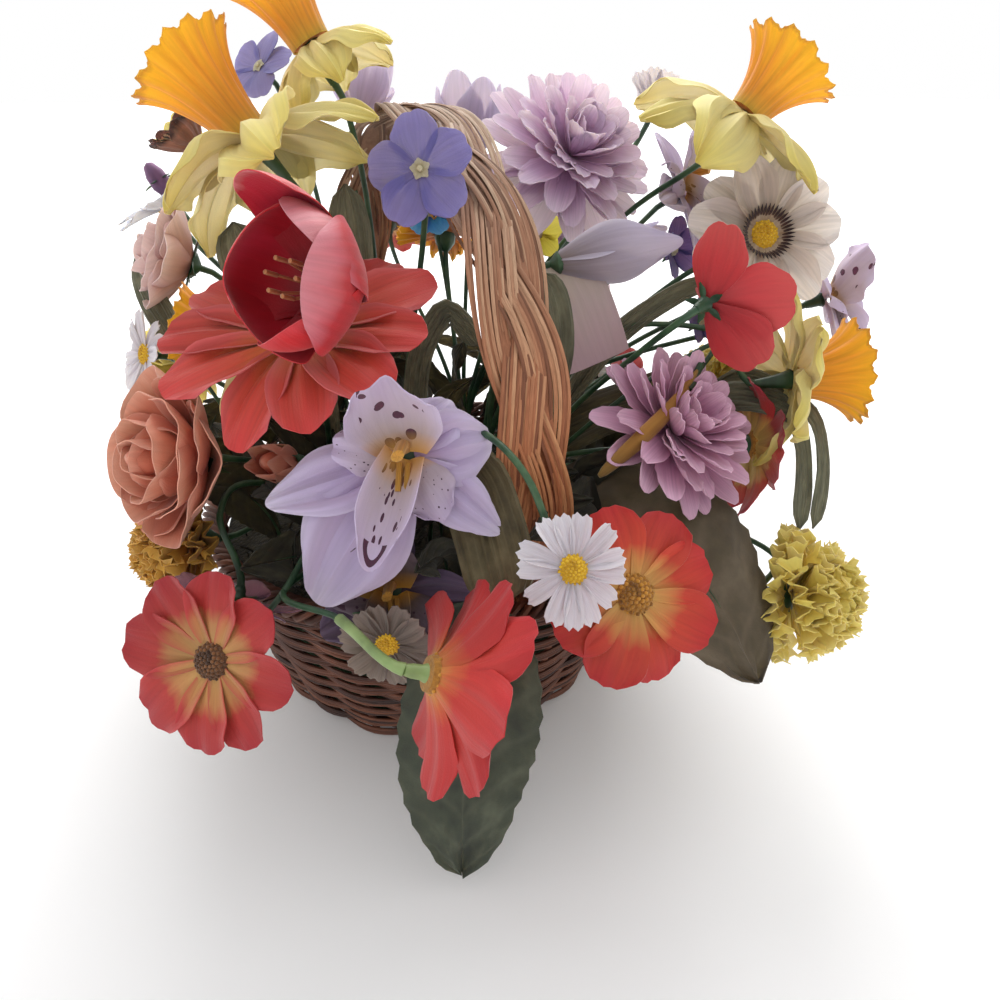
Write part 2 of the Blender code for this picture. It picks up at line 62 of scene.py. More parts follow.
def dye(red, green, blue):
    """A colour read off a colour card, 0 to 255, as the light that it gives back."""
    shares = (value / 255 for value in (red, green, blue))
    return (*(s / 12.92 if s <= 0.04045 else ((s + 0.055) / 1.055) ** 2.4 for s in shares), 1)


class Finish:
    """A material being mixed: add() makes a node and sets or wires its inputs."""

    def __init__(self, name, roughness=0.7, sheen=0.0, glow=0.0):
        self.material = bpy.data.materials.new(name)
        self.material.use_nodes = True
        self.tree = self.material.node_tree
        self.shader = self.tree.nodes["Principled BSDF"]
        fixed = {"Roughness": roughness, "Sheen Weight": sheen, "Subsurface Weight": glow}
        fixed["Subsurface Radius"] = (0.012, 0.008, 0.005)
        fixed["Subsurface Scale"] = 1.0
        self.wire(self.shader, fixed)

    def wire(self, node, inputs):
        for key, value in inputs.items():
            if isinstance(value, bpy.types.NodeSocket):
                self.tree.links.new(value, node.inputs[key])
            else:
                node.inputs[key].default_value = value

    def add(self, kind, inputs=None, **settings):
        node = self.tree.nodes.new("ShaderNode" + kind)
        for key, value in settings.items():
            setattr(node, key, value)
        self.wire(node, inputs or {})
        return node

    def math(self, operation, *values):
        return self.add("Math", dict(enumerate(values)), operation=operation).outputs[0]

    def mix(self, share, first, second, blend="MIX"):
        node = self.add("Mix", {0: share, 6: first, 7: second}, data_type="RGBA", blend_type=blend)
        return node.outputs[2]

    def ramp(self, share, stops):
        node = self.add("ValToRGB", {"Fac": share})
        for _ in range(len(stops) - 2):
            node.color_ramp.elements.new(0.5)
        for element, (position, colour) in zip(node.color_ramp.elements, stops):
            element.position = position
            element.color = colour
        return node.outputs["Color"]

    def coordinates(self, kind="blade", scale=(1, 1, 1)):
        if kind == "blade":
            found = self.add("UVMap", uv_map="blade").outputs[0]
        else:
            found = self.add("TexCoord").outputs["Object"]
        return self.add("Mapping", {"Vector": found, "Scale": scale}).outputs[0]

    def tone(self):
        return self.add("Attribute", attribute_name="tone").outputs["Fac"]

    def noise(self, vector, scale=1.0, detail=3.0, own=0.0):
        inputs = {"Vector": vector, "Scale": scale, "Detail": detail, "Roughness": 0.55}
        if own:
            inputs["W"] = self.math("MULTIPLY", self.tone(), own)
            return self.add("TexNoise", inputs, noise_dimensions="4D").outputs["Fac"]
        return self.add("TexNoise", inputs).outputs["Fac"]

    def done(self, colour, relief=None, depth=0.0002, strength=0.5):
        self.wire(self.shader, {"Base Color": colour})
        if relief is not None:
            bump = self.add("Bump", {"Height": relief, "Distance": depth, "Strength": strength})
            self.wire(self.shader, {"Normal": bump.outputs[0]})
        return self.material


def floor_finish():
    paper = Finish("floor_paper", roughness=0.9)
    cloud = paper.noise(paper.coordinates("object"), 2.0)
    away = paper.add("VectorMath", {0: paper.coordinates("object")}, operation="LENGTH").outputs["Value"]
    # The paper glows, faintly near the basket and more the farther out it lies: painted light, so that the
    # floor fades into a white backdrop.
    far = paper.add(
        "MapRange", {"Value": away, "From Min": 0.3, "From Max": 3.0, "To Min": 0.06, "To Max": 0.75}
    )
    paper.wire(paper.shader, {"Emission Color": (1, 1, 1, 1), "Emission Strength": far.outputs[0]})
    return paper.done(paper.ramp(cloud, [(0.3, (0.86, 0.86, 0.86, 1)), (0.7, (0.90, 0.90, 0.90, 1))]))


floor_bm = bmesh.new()
bmesh.ops.create_grid(floor_bm, x_segments=1, y_segments=1, size=FLOOR_HALF)
floor_mesh = bpy.data.meshes.new("floor")
floor_bm.to_mesh(floor_mesh)
floor_bm.free()
floor_mesh.materials.append(floor_finish())
floor = bpy.data.objects.new("floor", floor_mesh)
bpy.context.scene.collection.objects.link(floor)

# The room is bright on the window's side and dim opposite it. The camera sees it as plain white.
WINDOW_SIDE = (0.30, 0.72, 0.62)
ROOM_LIGHT = {"From Min": -1.0, "From Max": 0.8, "To Min": 0.15, "To Max": 1.15}

sky = bpy.data.worlds.new("room")
sky.use_nodes = True
sky_nodes = sky.node_tree.nodes
sky_link = sky.node_tree.links.new
sky_way = sky_nodes.new("ShaderNodeVectorMath")
sky_way.operation = "DOT_PRODUCT"
sky_way.inputs[1].default_value = WINDOW_SIDE
sky_share = sky_nodes.new("ShaderNodeMapRange")
for key, value in ROOM_LIGHT.items():
    sky_share.inputs[key].default_value = value
sky_link(sky_nodes.new("ShaderNodeTexCoord").outputs["Generated"], sky_way.inputs[0])
sky_link(sky_way.outputs["Value"], sky_share.inputs["Value"])
sky_seen = sky_nodes.new("ShaderNodeMix")
sky_seen.inputs[3].default_value = 1.0
sky_link(sky_nodes.new("ShaderNodeLightPath").outputs["Is Camera Ray"], sky_seen.inputs[0])
sky_link(sky_share.outputs[0], sky_seen.inputs[2])
sky_link(sky_seen.outputs[0], sky_nodes["Background"].inputs["Strength"])
sky_nodes["Background"].inputs["Color"].default_value = (1.0, 1.0, 1.0, 1)
bpy.context.scene.world = sky
bpy.context.scene.view_settings.view_transform = "Standard"


def add_lamp(name, at, towards, size, power):
    lamp = bpy.data.lights.new(name, "AREA")
    lamp.shape = "SQUARE"
    lamp.size = size
    lamp.energy = power
    holder = bpy.data.objects.new(name, lamp)
    holder.location = at
    holder.rotation_euler = (Vector(towards) - Vector(at)).to_track_quat("-Z", "Y").to_euler()
    bpy.context.scene.collection.objects.link(holder)


add_lamp("window_light", (0.45, 1.00, 1.25), (0, 0, 0.20), 1.2, 24)
add_lamp("fill_light", (-0.90, -1.10, 0.90), (0, 0, 0.20), 1.4, 3)

# ---------------------------------------------------------------- Basket base
# The floor of the basket: split willow canes woven in rings through a dozen stakes that run
# out from the centre. It is stained the same red-brown as the wall and lies flat on its underside.

_, wall_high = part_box("basket_wall")
base_low, base_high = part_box("basket_base")
WALL_DEPTH = 0.006
FOOT_RADIUS = base_high.x + WALL_DEPTH
WALL_TOP_RADIUS = wall_high.x
BASE_STAKES = 12
BASE_RING_GAP = 0.0046
CANE_WIDE = 0.0022
CANE_TALL = 0.0013
SHARP_FOLD = radians(48)


def new_piece():
    """An empty mesh with the two things the finishes read: the blade map and the tone of each part."""
    piece = bmesh.new()
    piece.loops.layers.uv.new("blade")
    piece.verts.layers.float.new("tone")
    return piece


def join(piece, part):
    """Adds a part to the piece that it belongs to."""
    held = bpy.data.meshes.new("held")
    part.to_mesh(held)
    piece.from_mesh(held)
    part.free()
    bpy.data.meshes.remove(held)


def sheet(piece, across, along, shape, thick=0.0, kind=0, tone=0.5, closed=False, lining=None):
    """Adds a grid bent to shape(a, t), a from -1 to 1 across and t from 0 to 1 along. A closed one is
    joined where its edges meet. A thin one gets a second face, which may have a lining's finish."""
    part = new_piece()
    bmesh.ops.create_grid(part, x_segments=across, y_segments=along, size=1, calc_uvs=True)
    for vert in part.verts:
        vert.co = shape(vert.co.x, (vert.co.y + 1) / 2)
    if closed:
        bmesh.ops.remove_doubles(part, verts=part.verts, dist=1e-6)
        bmesh.ops.recalc_face_normals(part, faces=part.faces)
    part.normal_update()
    for face in part.faces:
        face.material_index = kind
    if thick:
        made = bmesh.ops.extrude_face_region(part, geom=part.faces[:], use_keep_orig=True)["geom"]
        for element in made:
            if isinstance(element, bmesh.types.BMVert):
                element.co -= element.normal * thick
            elif isinstance(element, bmesh.types.BMFace) and lining is not None:
                element.material_index = lining
        bmesh.ops.recalc_face_normals(part, faces=part.faces)
    tones = part.verts.layers.float["tone"]
    for vert in part.verts:
        vert[tones] = tone
    for face in part.faces:
        face.smooth = True
    join(piece, part)


def tube(piece, points, wide, tall=None, sides=6, sideways=None, kind=0, tone=0.5, taper=None):
    """A rod along the points, closed at both ends. Its section is wide by tall, kept level with
    the sideways direction if one is given."""
    tall = tall or wide
    last = len(points) - 1
    frames = []
    across = sideways or (points[1] - points[0]).orthogonal()
    for i in range(last + 1):
        along = (points[min(i + 1, last)] - points[max(i - 1, 0)]).normalized()
        across = (sideways or across) - along * along.dot(sideways or across)
        across.normalize()
        share = taper(i / last) if taper else 1
        frames.append((points[i], across * wide * share, along.cross(across) * tall * share))
    # A ring without width closes each end
    frames = [frames[0], *frames, frames[-1]]

    def shape(a, t):
        i = round(t * (last + 2))
        centre, out, up = frames[i]
        open_end = 0 < i < last + 2
        return centre + (out * cos(pi * a) + up * sin(pi * a)) * open_end

    sheet(piece, sides, last + 2, shape, kind=kind, tone=tone, closed=True)


def finish_piece(name, piece, finishes, slot, *nodes):
    """Turns a built mesh into a piece that rides on the basket and stands for its solids."""
    mesh = bpy.data.meshes.new(name)
    piece.to_mesh(mesh)
    piece.free()
    mesh.set_sharp_from_angle(angle=SHARP_FOLD)
    for finish in finishes:
        mesh.materials.append(finish)
    thing = bpy.data.objects.new(name, mesh)
    bpy.context.scene.collection.objects.link(thing)
    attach(thing, "root")
    if nodes:
        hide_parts(*nodes)
    return thing


def cane_finish(name, dark, middle, light):
    """Stained split willow: long dark and pale streaks, each cane a little different."""
    cane = Finish(name, roughness=0.62, sheen=0.05)
    streaks = cane.noise(cane.coordinates("blade", (3, 30, 1)), 2.0, 4.0, own=40)
    patches = cane.noise(cane.coordinates("object"), 55.0, 2.0)
    share = cane.math("ADD", cane.math("MULTIPLY", streaks, 0.6), cane.math("MULTIPLY", cane.tone(), 0.4))
    colour = cane.ramp(share, [(0.25, dark), (0.5, middle), (0.78, light)])
    shade = cane.ramp(patches, [(0.35, (0.45, 0.4, 0.4, 1)), (0.65, (1, 1, 1, 1))])
    return cane.done(cane.mix(0.55, colour, shade, "MULTIPLY"), streaks, 0.0006, 0.7)


wicker = cane_finish("stained_wicker", dye(52, 28, 22), dye(104, 60, 42), dye(142, 88, 62))

draw = random.Random(3)
base_bm = new_piece()
base_middle = (base_low.z + base_high.z) / 2
for stake in range(BASE_STAKES):
    turn = 2 * pi * stake / BASE_STAKES
    reach = [Vector((cos(turn), sin(turn), 0)) * base_high.x * share for share in (0.0, 0.5, 0.97)]
    points = [point + Vector((0, 0, base_middle)) for point in reach]
    tube(base_bm, points, CANE_WIDE, CANE_TALL, tone=draw.random())
ring = 0
ring_radius = 0.008
while ring_radius < base_high.x - CANE_WIDE:

    def ring_shape(a, t, radius=ring_radius, odd=ring % 2):
        turn = 2 * pi * t
        lift = 0.0017 * cos(BASE_STAKES / 2 * turn + pi * odd)
        out = radius + CANE_WIDE * cos(pi * a)
        return Vector((out * cos(turn), out * sin(turn), base_middle + lift + CANE_TALL * sin(pi * a)))

    sheet(base_bm, 6, 72, ring_shape, tone=draw.random(), closed=True)
    ring_radius += BASE_RING_GAP
    ring += 1
finish_piece("basket_base_weave", base_bm, [wicker], "wicker", "basket_base")

# ---------------------------------------------------------------- Basket wall
# Pairs of thin willow canes go round in front of one stake and behind the next, each row the other
# way from the row below, and are beaten down close. Nothing but the weave holds them.

WALL_STAKES = 22
ROW_PITCH = 0.0050
ROW_STEPS = 132
WEAVE_SWING = 0.0025
WALL_INSET = 0.0032
STAKE_WIDE = 0.0024
STAKE_TALL = 0.0014
FIRST_ROW = 0.0035
ROW_STRANDS = 3
STRAND_PITCH = 0.0015
STRAND_WIDE = 0.0010
STRAND_TALL = 0.00105


def wall_radius(height):
    return FOOT_RADIUS + (WALL_TOP_RADIUS - FOOT_RADIUS) * height / wall_high.z


wall_bm = new_piece()
for stake in range(WALL_STAKES):
    turn = 2 * pi * stake / WALL_STAKES
    heights = (0.0015, 0.03, 0.06, wall_high.z)
    points = [
        Vector((cos(turn), sin(turn), 0)) * (wall_radius(h) - WALL_INSET) + Vector((0, 0, h))
        for h in heights
    ]
    level = Vector((-sin(turn), cos(turn), 0))
    tube(wall_bm, points, STAKE_WIDE, STAKE_TALL, sideways=level, tone=draw.random())
row = 0
height = FIRST_ROW
while height < wall_high.z - 0.001:
    for strand in range(ROW_STRANDS):
        wobble = draw.uniform(0, 50)
        fat = draw.uniform(0.85, 1.15)

        def row_shape(a, t, z=height, odd=row % 2, strand=strand, wobble=wobble, fat=fat):
            turn = 2 * pi * t
            stray = noise.noise(Vector((3 * cos(turn) + wobble, 3 * sin(turn), z * 90)))
            level = z + (strand - 1) * STRAND_PITCH + 0.0011 * stray
            swing = WEAVE_SWING * cos(WALL_STAKES / 2 * turn + pi * odd) * (1.1 - 0.15 * strand)
            out = wall_radius(level) - WALL_INSET + swing + STRAND_WIDE * fat * cos(pi * a)
            return Vector((out * cos(turn), out * sin(turn), level + STRAND_TALL * fat * sin(pi * a)))

        sheet(wall_bm, 6, ROW_STEPS, row_shape, tone=draw.random(), closed=True)
    height += ROW_PITCH
    row += 1
finish_piece("basket_wall_weave", wall_bm, [wicker], "wicker", "basket_wall")

# ---------------------------------------------------------------- Basket rim
# The border: the stakes' ends, of the same stained willow, are bent down and twisted together into a
# rope that lies on the wall. Its own twist holds it.

rim_low, rim_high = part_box("basket_rim")
RIM_STRANDS = 5
RIM_TURNS = 24
RIM_STEPS = 288
STRAND_SINK = 0.0020
RIM_STRAND_WIDE = 0.0023
RIM_STRAND_TALL = 0.0019
rim_rod = (rim_high.z - rim_low.z) / 2
rim_reach = rim_high.x - rim_rod
rim_level = rim_low.z + rim_rod

rim_bm = new_piece()
for strand in range(RIM_STRANDS):

    def rope_shape(a, t, strand=strand):
        turn = 2 * pi * t
        lay = RIM_TURNS * turn + 2 * pi * strand / RIM_STRANDS
        out = rim_reach + (rim_rod - STRAND_SINK) * cos(lay) + RIM_STRAND_WIDE * cos(pi * a)
        up = rim_level + (rim_rod - STRAND_SINK) * sin(lay) + RIM_STRAND_TALL * sin(pi * a)
        return Vector((out * cos(turn), out * sin(turn), up))

    sheet(rim_bm, 6, RIM_STEPS, rope_shape, tone=draw.random(), closed=True)
finish_piece("basket_rim_rope", rim_bm, [wicker], "wicker", "basket_rim")

# ---------------------------------------------------------------- Handle
# Three bundles of flat rush strands plaited into one long band. Its ends are pushed down inside
# the wall, and it bows out above the rim before it arches over the flowers.

handle_low, handle_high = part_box("handle")
HANDLE_HALF_DEPTH = 0.0045
HANDLE_HALF_WIDTH = handle_high.x
BUNDLES = 3
BUNDLE_STRANDS = 19
STRAND_GAP = 0.00102
PLAIT_LENGTH = 0.185
PLAIT_STEPS = 200
RUSH_WIDE = 0.00080
RUSH_TALL = 0.00042
PLAIT_DEPTH = 0.0021
PLAIT_EDGE = 0.0085
BAND_WIDE = 0.0100
BAND_TALL = 0.0006


def smooth_path(knots, steps):
    """Points on a smooth curve through the knots, with this many steps between each two."""
    path = []
    last = len(knots) - 1
    for i in range(last):
        before, start, end = knots[max(i - 1, 0)], knots[i], knots[i + 1]
        after = knots[min(i + 2, last)]
        for k in range(steps):
            t = k / steps
            straight = 2 * start + (end - before) * t
            bent = (2 * before - 5 * start + 4 * end - after) * t**2
            path.append(0.5 * (straight + bent + (3 * start - before - 3 * end + after) * t**3))
    path.append(knots[last])
    return path


def even_path(points, steps):
    """The same path in steps of one length, with its length."""
    marks = [0]
    for first, second in zip(points, points[1:]):
        marks.append(marks[-1] + (second - first).length)
    path = []
    spot = 0
    for k in range(steps + 1):
        goal = marks[-1] * k / steps
        while spot < len(points) - 2 and marks[spot + 1] < goal:
            spot += 1
        share = (goal - marks[spot]) / (marks[spot + 1] - marks[spot])
        path.append(points[spot].lerp(points[spot + 1], share))
    return path, marks[-1]


arch_reach = handle_high.y - HANDLE_HALF_DEPTH
arch_top = handle_high.z - HANDLE_HALF_DEPTH
ARCH_SPRING = 0.150
side = [(0.101, handle_low.z), (0.112, rim_level), (0.126, 0.120)]
for degrees in (0, 15, 30, 45, 60, 75):
    rise = (arch_top - ARCH_SPRING) * sin(radians(degrees))
    side.append((arch_reach * cos(radians(degrees)), ARCH_SPRING + rise))
knots = [Vector((0, -reach, height)) for reach, height in side]
knots += [Vector((0, 0, arch_top))]
knots += [Vector((0, reach, height)) for reach, height in reversed(side)]
spine, spine_length = even_path(smooth_path(knots, 10), PLAIT_STEPS)

handle_bm = new_piece()
for bundle in range(BUNDLES):
    for strand in range(BUNDLE_STRANDS):
        stray = draw.uniform(0, 80)
        offset = (strand - (BUNDLE_STRANDS - 1) / 2) * STRAND_GAP
        lift = 0.0005 * (strand % 2) + draw.uniform(-0.0005, 0.0005)
        lag = draw.uniform(-0.16, 0.16)
        points = []
        for i, centre in enumerate(spine):
            along = (spine[min(i + 1, PLAIT_STEPS)] - spine[max(i - 1, 0)]).normalized()
            outward = along.cross(Vector((1, 0, 0)))
            run = spine_length * i / PLAIT_STEPS
            phase = 2 * pi * (run / PLAIT_LENGTH + bundle / BUNDLES) + lag
            drift = 0.0007 * noise.noise(Vector((run * 22, stray, 0)))
            reach_in = min(1, max(0.62, 0.62 + 0.38 * (centre.z - handle_low.z) / 0.09))
            sway = (HANDLE_HALF_WIDTH - PLAIT_EDGE) * sin(phase) + offset + drift
            deep = PLAIT_DEPTH * sin(2 * phase) + lift + 0.6 * drift
            points.append(centre + Vector((sway * reach_in, 0, 0)) + outward * deep)
        tube(handle_bm, points, RUSH_WIDE, RUSH_TALL, 5, sideways=Vector((1, 0, 0)), tone=draw.random())

# A flat band of the same rush runs down the middle and closes the gaps between the bundles
inner_band = [point - 0.0012 * (point - Vector((0, 0, ARCH_SPRING))).normalized() for point in spine[8:-8]]
tube(handle_bm, inner_band, BAND_WIDE, BAND_TALL, 8, sideways=Vector((1, 0, 0)), tone=0.35)

rush = Finish("rush_strands", roughness=0.72, sheen=0.05)
rush_grain = rush.noise(rush.coordinates("blade", (5, 60, 1)), 2.0, 4.0, own=60)
# The band is painted greyer and paler towards the top of the arch than at its feet: painted light, where the
# window behind shines on it.
rush_height = rush.add("SeparateXYZ", {0: rush.coordinates("object")}).outputs["Z"]
rush_low = rush.ramp(
    rush.tone(), [(0.0, dye(120, 64, 38)), (0.45, dye(188, 112, 68)), (1.0, dye(214, 148, 98))]
)
rush_painted_lit_top = rush.ramp(
    rush.tone(), [(0.0, dye(108, 80, 62)), (0.45, dye(166, 130, 106)), (1.0, dye(206, 182, 158))]
)
rush_lit_share = rush.add("MapRange", {"Value": rush_height, "From Min": 0.17, "From Max": 0.30}).outputs[0]
rush_colour = rush.mix(rush_lit_share, rush_low, rush_painted_lit_top)
rush_shade = rush.ramp(rush_grain, [(0.3, (0.55, 0.5, 0.46, 1)), (0.6, (1, 1, 1, 1))])
rush_finish = rush.done(rush.mix(0.8, rush_colour, rush_shade, "MULTIPLY"), rush_grain, 0.0004, 0.6)
finish_piece("handle_plait", handle_bm, [rush_finish], "handle_strands", "handle")

# ---------------------------------------------------------------- Foam and moss
# A dry foam block fills the basket and grips the stems and the handle's ends. Dried moss is spread
# over it, up to the rim, so that no foam shows.

_, foam_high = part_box("floral_foam")
MOSS_RADIUS = foam_high.x + 0.0015
MOSS_THICK = 0.0012
MOSS_TUFTS = 420
TUFT_WIDE = 0.0006
TUFT_TALL = 0.0004

foam = Finish("floral_foam", roughness=0.95)
foam_pores = foam.noise(foam.coordinates("object"), 900.0, 2.0)
foam_colour = foam.ramp(foam_pores, [(0.35, dye(40, 62, 42)), (0.65, dye(74, 100, 66))])
foam_finish = foam.done(foam_colour, foam_pores, 0.0006, 0.8)
for material_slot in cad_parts["floral_foam"].material_slots:
    material_slot.material = foam_finish

moss = Finish("dried_moss", roughness=0.95, sheen=0.1)
moss_fibre = moss.noise(moss.coordinates("object"), 420.0, 4.0)
moss_stops = [(0.3, dye(18, 16, 12)), (0.5, dye(40, 36, 24)), (0.75, dye(66, 58, 36))]
moss_colour = moss.ramp(moss_fibre, moss_stops)
moss_finish = moss.done(moss_colour, moss_fibre, 0.0015, 1.0)


def moss_level(reach):
    return foam_high.z + 0.004 - 0.016 * (reach / MOSS_RADIUS) ** 2


def moss_shape(a, t):
    reach = MOSS_RADIUS * t
    x, y = reach * cos(pi * a), reach * sin(pi * a)
    bumps = noise.fractal(Vector((x, y, 0)) * 95, 1.0, 2.0, 4)
    return Vector((x, y, moss_level(reach) + 0.004 * bumps * min(1, 3 * (1 - t))))


moss_bm = new_piece()
sheet(moss_bm, 96, 34, moss_shape, MOSS_THICK)
draw = random.Random(11)
for _ in range(MOSS_TUFTS):
    reach = MOSS_RADIUS * sqrt(draw.random()) * 0.96
    turn = draw.uniform(-pi, pi)
    root = Vector((reach * cos(turn), reach * sin(turn), moss_level(reach)))
    lean = Vector((draw.uniform(-1, 1), draw.uniform(-1, 1), 0.9)).normalized()
    curl = Vector((draw.uniform(-1, 1), draw.uniform(-1, 1), -0.4)) * 0.004
    long = draw.uniform(0.006, 0.014)
    tuft = [root, root + lean * long * 0.5, root + lean * long + curl]
    tube(moss_bm, tuft, TUFT_WIDE, TUFT_TALL, 3, tone=draw.random())
finish_piece("moss_cover", moss_bm, [moss_finish], "foam")

# ---------------------------------------------------------------- Stems
# Each spray is one moulded plastic bush: a stout trunk pushed into the foam, with a wired green
# branch for every flower, bent by hand so that its head faces the way it should.


def place(bearing, reach, height):
    """The point at a bearing from the front, in degrees, a distance from the axis, and a height."""
    turn = radians(bearing)
    return Vector((reach * sin(turn), -reach * cos(turn), height))


def direction(bearing, tilt):
    return place(bearing, cos(radians(tilt)), sin(radians(tilt)))


TRUNK_RADIUS = 0.0040
TRUNK_TOP = 0.112
TRUNK_FOOT = 0.040
STEM_RADIUS = 0.0013
STEM_NECK = 0.006
ACROSS = 65
# Each head: the way it faces (bearing, tilt), how deep its calyx is, how far across and up its cloth
# sits from the middle of its solid, and the points (bearing, reach, height) its stem is bent through
Head = namedtuple("Head", "faces tilt depth shift bends", defaults=((0, 0), ()))
# Each spray: where its trunk stands (bearing, reach), and its heads
SPRAYS = {
    "spray_front": (-42, 0.050, {
        "periwinkle_front": Head(-28, 20, 0.0060),
        "tulip_red": Head(-50, 22, 0.0270, (0.0, -0.0030)),
        "orchid_front": Head(-28, 20, 0.0099, (0.0055, 0.0055)),
        "rosebud": Head(-50, 30, 0.0180),
        "orchid_low": Head(-25, 25, 0.0084),
        "daisy_low": Head(-30, 10, 0.0053, bends=((-42, 0.100, 0.130), (-41, 0.138, 0.126))),
        "gerbera_low": Head(
            80, -25, 0.0095, (-0.0025, 0.0025), ((-43.5, 0.1500, 0.1315), (-32, 0.1685, 0.1355))
        ),
        "daisy_front": Head(
            -8, 35, 0.0062, (0.0020, -0.0020),
            ((-19, 0.085, 0.165), (-11.5, 0.126, 0.193), (-6.5, 0.156, 0.186))
        ),
        "gerbera_left": Head(-42, 28, 0.0090, (0.0050, -0.0020), ((-44, 0.110, 0.138), (-43, 0.155, 0.132))),
        "violet_low": Head(-50, -60, 0.0060, (0.0060, 0.0050), ((-64, 0.112, 0.150), (-60, 0.140, 0.150))),
    }),
    "spray_left": (-85, 0.060, {
        "zinnia_red": Head(-40, 65, 0.0126),
        "daffodil_low_left": Head(-110, 12, 0.0187, (0.0070, -0.0060)),
        "rose_left": Head(-66, 20, 0.0218, (0.0030, 0.0)),
        "carnation_left": Head(-70, 15, 0.0188),
        "daisy_left": Head(-70, 20, 0.0062),
    }),
    "spray_top_left": (-115, 0.025, {
        "daffodil_left": Head(-125, 48, 0.0208),
        "daffodil_top": Head(-120, 60, 0.0177),
        "gazania_left": Head(-115, 45, 0.0073, (0.0080, -0.0040)),
        "rose_upper_left": Head(-95, 25, 0.0195, (0.0, -0.0040)),
    }),
    "spray_right": (14, 0.050, {
        "gerbera_right": Head(-10, 35, 0.0095, (0.0, -0.0030), ((14, 0.085, 0.122), (11, 0.132, 0.115))),
        "mum_mauve": Head(25, 45, 0.0155),
        "carnation_right": Head(
            30, 20, 0.0210, bends=((28, 0.090, 0.124), (42, 0.150, 0.114), (40, 0.195, 0.106))
        ),
        "gaillardia": Head(75, -5, 0.0078),
        "daffodil_low_right": Head(65, 8, 0.0177, (-0.0060, 0.0), ((55, 0.080, 0.190), (52, 0.145, 0.206))),
        "anemone_red": Head(110, 10, 0.0078, (-0.0060, 0.0), ((36, 0.085, 0.165), (30, 0.122, 0.205))),
        "tulip_white": Head(65, 12, 0.0242),
    }),
    "spray_top_right": (85, 0.030, {
        "mum_pink": Head(5, 45, 0.0185, (0.0, -0.0040)),
        "daffodil_right": Head(78, 48, 0.0192, bends=((90, 0.050, 0.180), (80, 0.105, 0.245))),
        "gazania_right": Head(-20, 25, 0.0087, bends=((72, 0.080, 0.170), (66, 0.130, 0.220))),
        "orchid_upper": Head(40, 35, 0.0084),
        "orchid_right": Head(50, 25, 0.0090),
        "violet_right": Head(20, 10, 0.0054),
    }),
    "spray_back_left": (-150, 0.060, {
        "periwinkle_back": Head(-60, 40, 0.0066),
        "rose_back": Head(-165, 25, 0.0225),
        "carnation_back": Head(-135, 20, 0.0225),
    }),
    "spray_back_right": (140, 0.060, {
        "tulip_lilac": Head(150, 70, 0.0264, (0.0, -0.0060)),
        "daisy_top": Head(120, 50, 0.0062),
        "mum_back": Head(115, 30, 0.0160),
        "marigold_back": Head(160, 60, 0.0188),
        "gerbera_back": Head(165, 45, 0.0078),
    }),
}
HEADS = {name: head for _, _, heads in SPRAYS.values() for name, head in heads.items()}


def head_centre(name):
    low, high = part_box(name)
    across, up = HEADS[name].shift
    return (low + high) / 2 + place(ACROSS, across, up)


def stem_path(start, centre, facing, depth, bends=()):
    """From the trunk to the back of a flower, bowed like a wired branch."""
    end = centre - facing * depth
    neck = end - facing * STEM_NECK
    if bends:
        path = smooth_path([start, *bends, neck], 9)[:-5]
        path += [path[-1].lerp(neck, t).lerp(neck.lerp(end, t), t) for t in (0.25, 0.5, 0.75, 1)]
        return path
    span = (neck - start).length
    outward = neck - start
    outward.z = 0
    leave = start + Vector((0, 0, 0.40 * span)) + 0.10 * outward
    arrive = neck - (facing + (neck - start).normalized()).normalized() * 0.25 * span
    path = []
    for k in range(17):
        t = k / 16
        path.append(
            (1 - t) ** 3 * start + 3 * (1 - t) ** 2 * t * leave + 3 * (1 - t) * t**2 * arrive + t**3 * neck
        )
    return path + [end]


def plastic_finish(name, dark, middle, light):
    """Moulded plastic with cloudy colour and the fine grain of its mould."""
    plastic = Finish(name, roughness=0.42)
    cloud = plastic.noise(plastic.coordinates("object"), 70.0, 3.0)
    mould = plastic.noise(plastic.coordinates("object"), 600.0, 2.0)
    return plastic.done(plastic.ramp(cloud, [(0.3, dark), (0.5, middle), (0.72, light)]), mould, 0.0002, 0.5)


stem_green = plastic_finish("green_plastic_stem", dye(24, 52, 34), dye(44, 78, 50), dye(78, 108, 70))
# A paler copy of the stem plastic for the end of the low gerbera's stem and its calyx: painted light, where
# that stem comes out of the shade.
lit_stem_green = plastic_finish("stem_painted_lit_plastic", dye(116, 138, 84), dye(136, 160, 98), dye(152, 174, 112))
LIT_STEMS = ("gerbera_low",)


def swell(t):
    """The branch is a little thicker at its foot and under the flower."""
    return 1 + 0.25 * (1 - t) ** 2 + 0.35 * t**8


for spray, (bearing, reach, heads) in SPRAYS.items():
    spray_bm = new_piece()
    foot, top = place(bearing, reach, TRUNK_FOOT), place(bearing, reach, TRUNK_TOP)
    tube(spray_bm, [foot, foot.lerp(top, 0.5), top], TRUNK_RADIUS, sides=10)
    start = top - Vector((0, 0, 2 * TRUNK_RADIUS))
    for name, head in heads.items():
        bends = [place(*bend) for bend in head.bends]
        path = stem_path(start, head_centre(name), direction(head.faces, head.tilt), head.depth, bends)
        if name in LIT_STEMS:
            tube(spray_bm, path[:-8], STEM_RADIUS, sides=8)
            tube(spray_bm, path[-9:], 1.4 * STEM_RADIUS, sides=8, kind=1, taper=swell)
        else:
            tube(spray_bm, path, STEM_RADIUS, sides=8, taper=swell)
    finish_piece(spray + "_stems", spray_bm, [stem_green, lit_stem_green], "stem_green", spray)

# ---------------------------------------------------------------- Daffodils
# Six pale yellow petals of pressed silk, swept back, behind a fluted orange trumpet that was heat
# set on a mould. A green calyx tube holds both on the stem.


def width_share(t, outline):
    base, belly, end = outline
    if t < belly:
        return base + (1 - base) * sin(pi / 2 * t / belly)
    return end + (1 - end) * cos(pi / 2 * (t - belly) / (1 - belly))


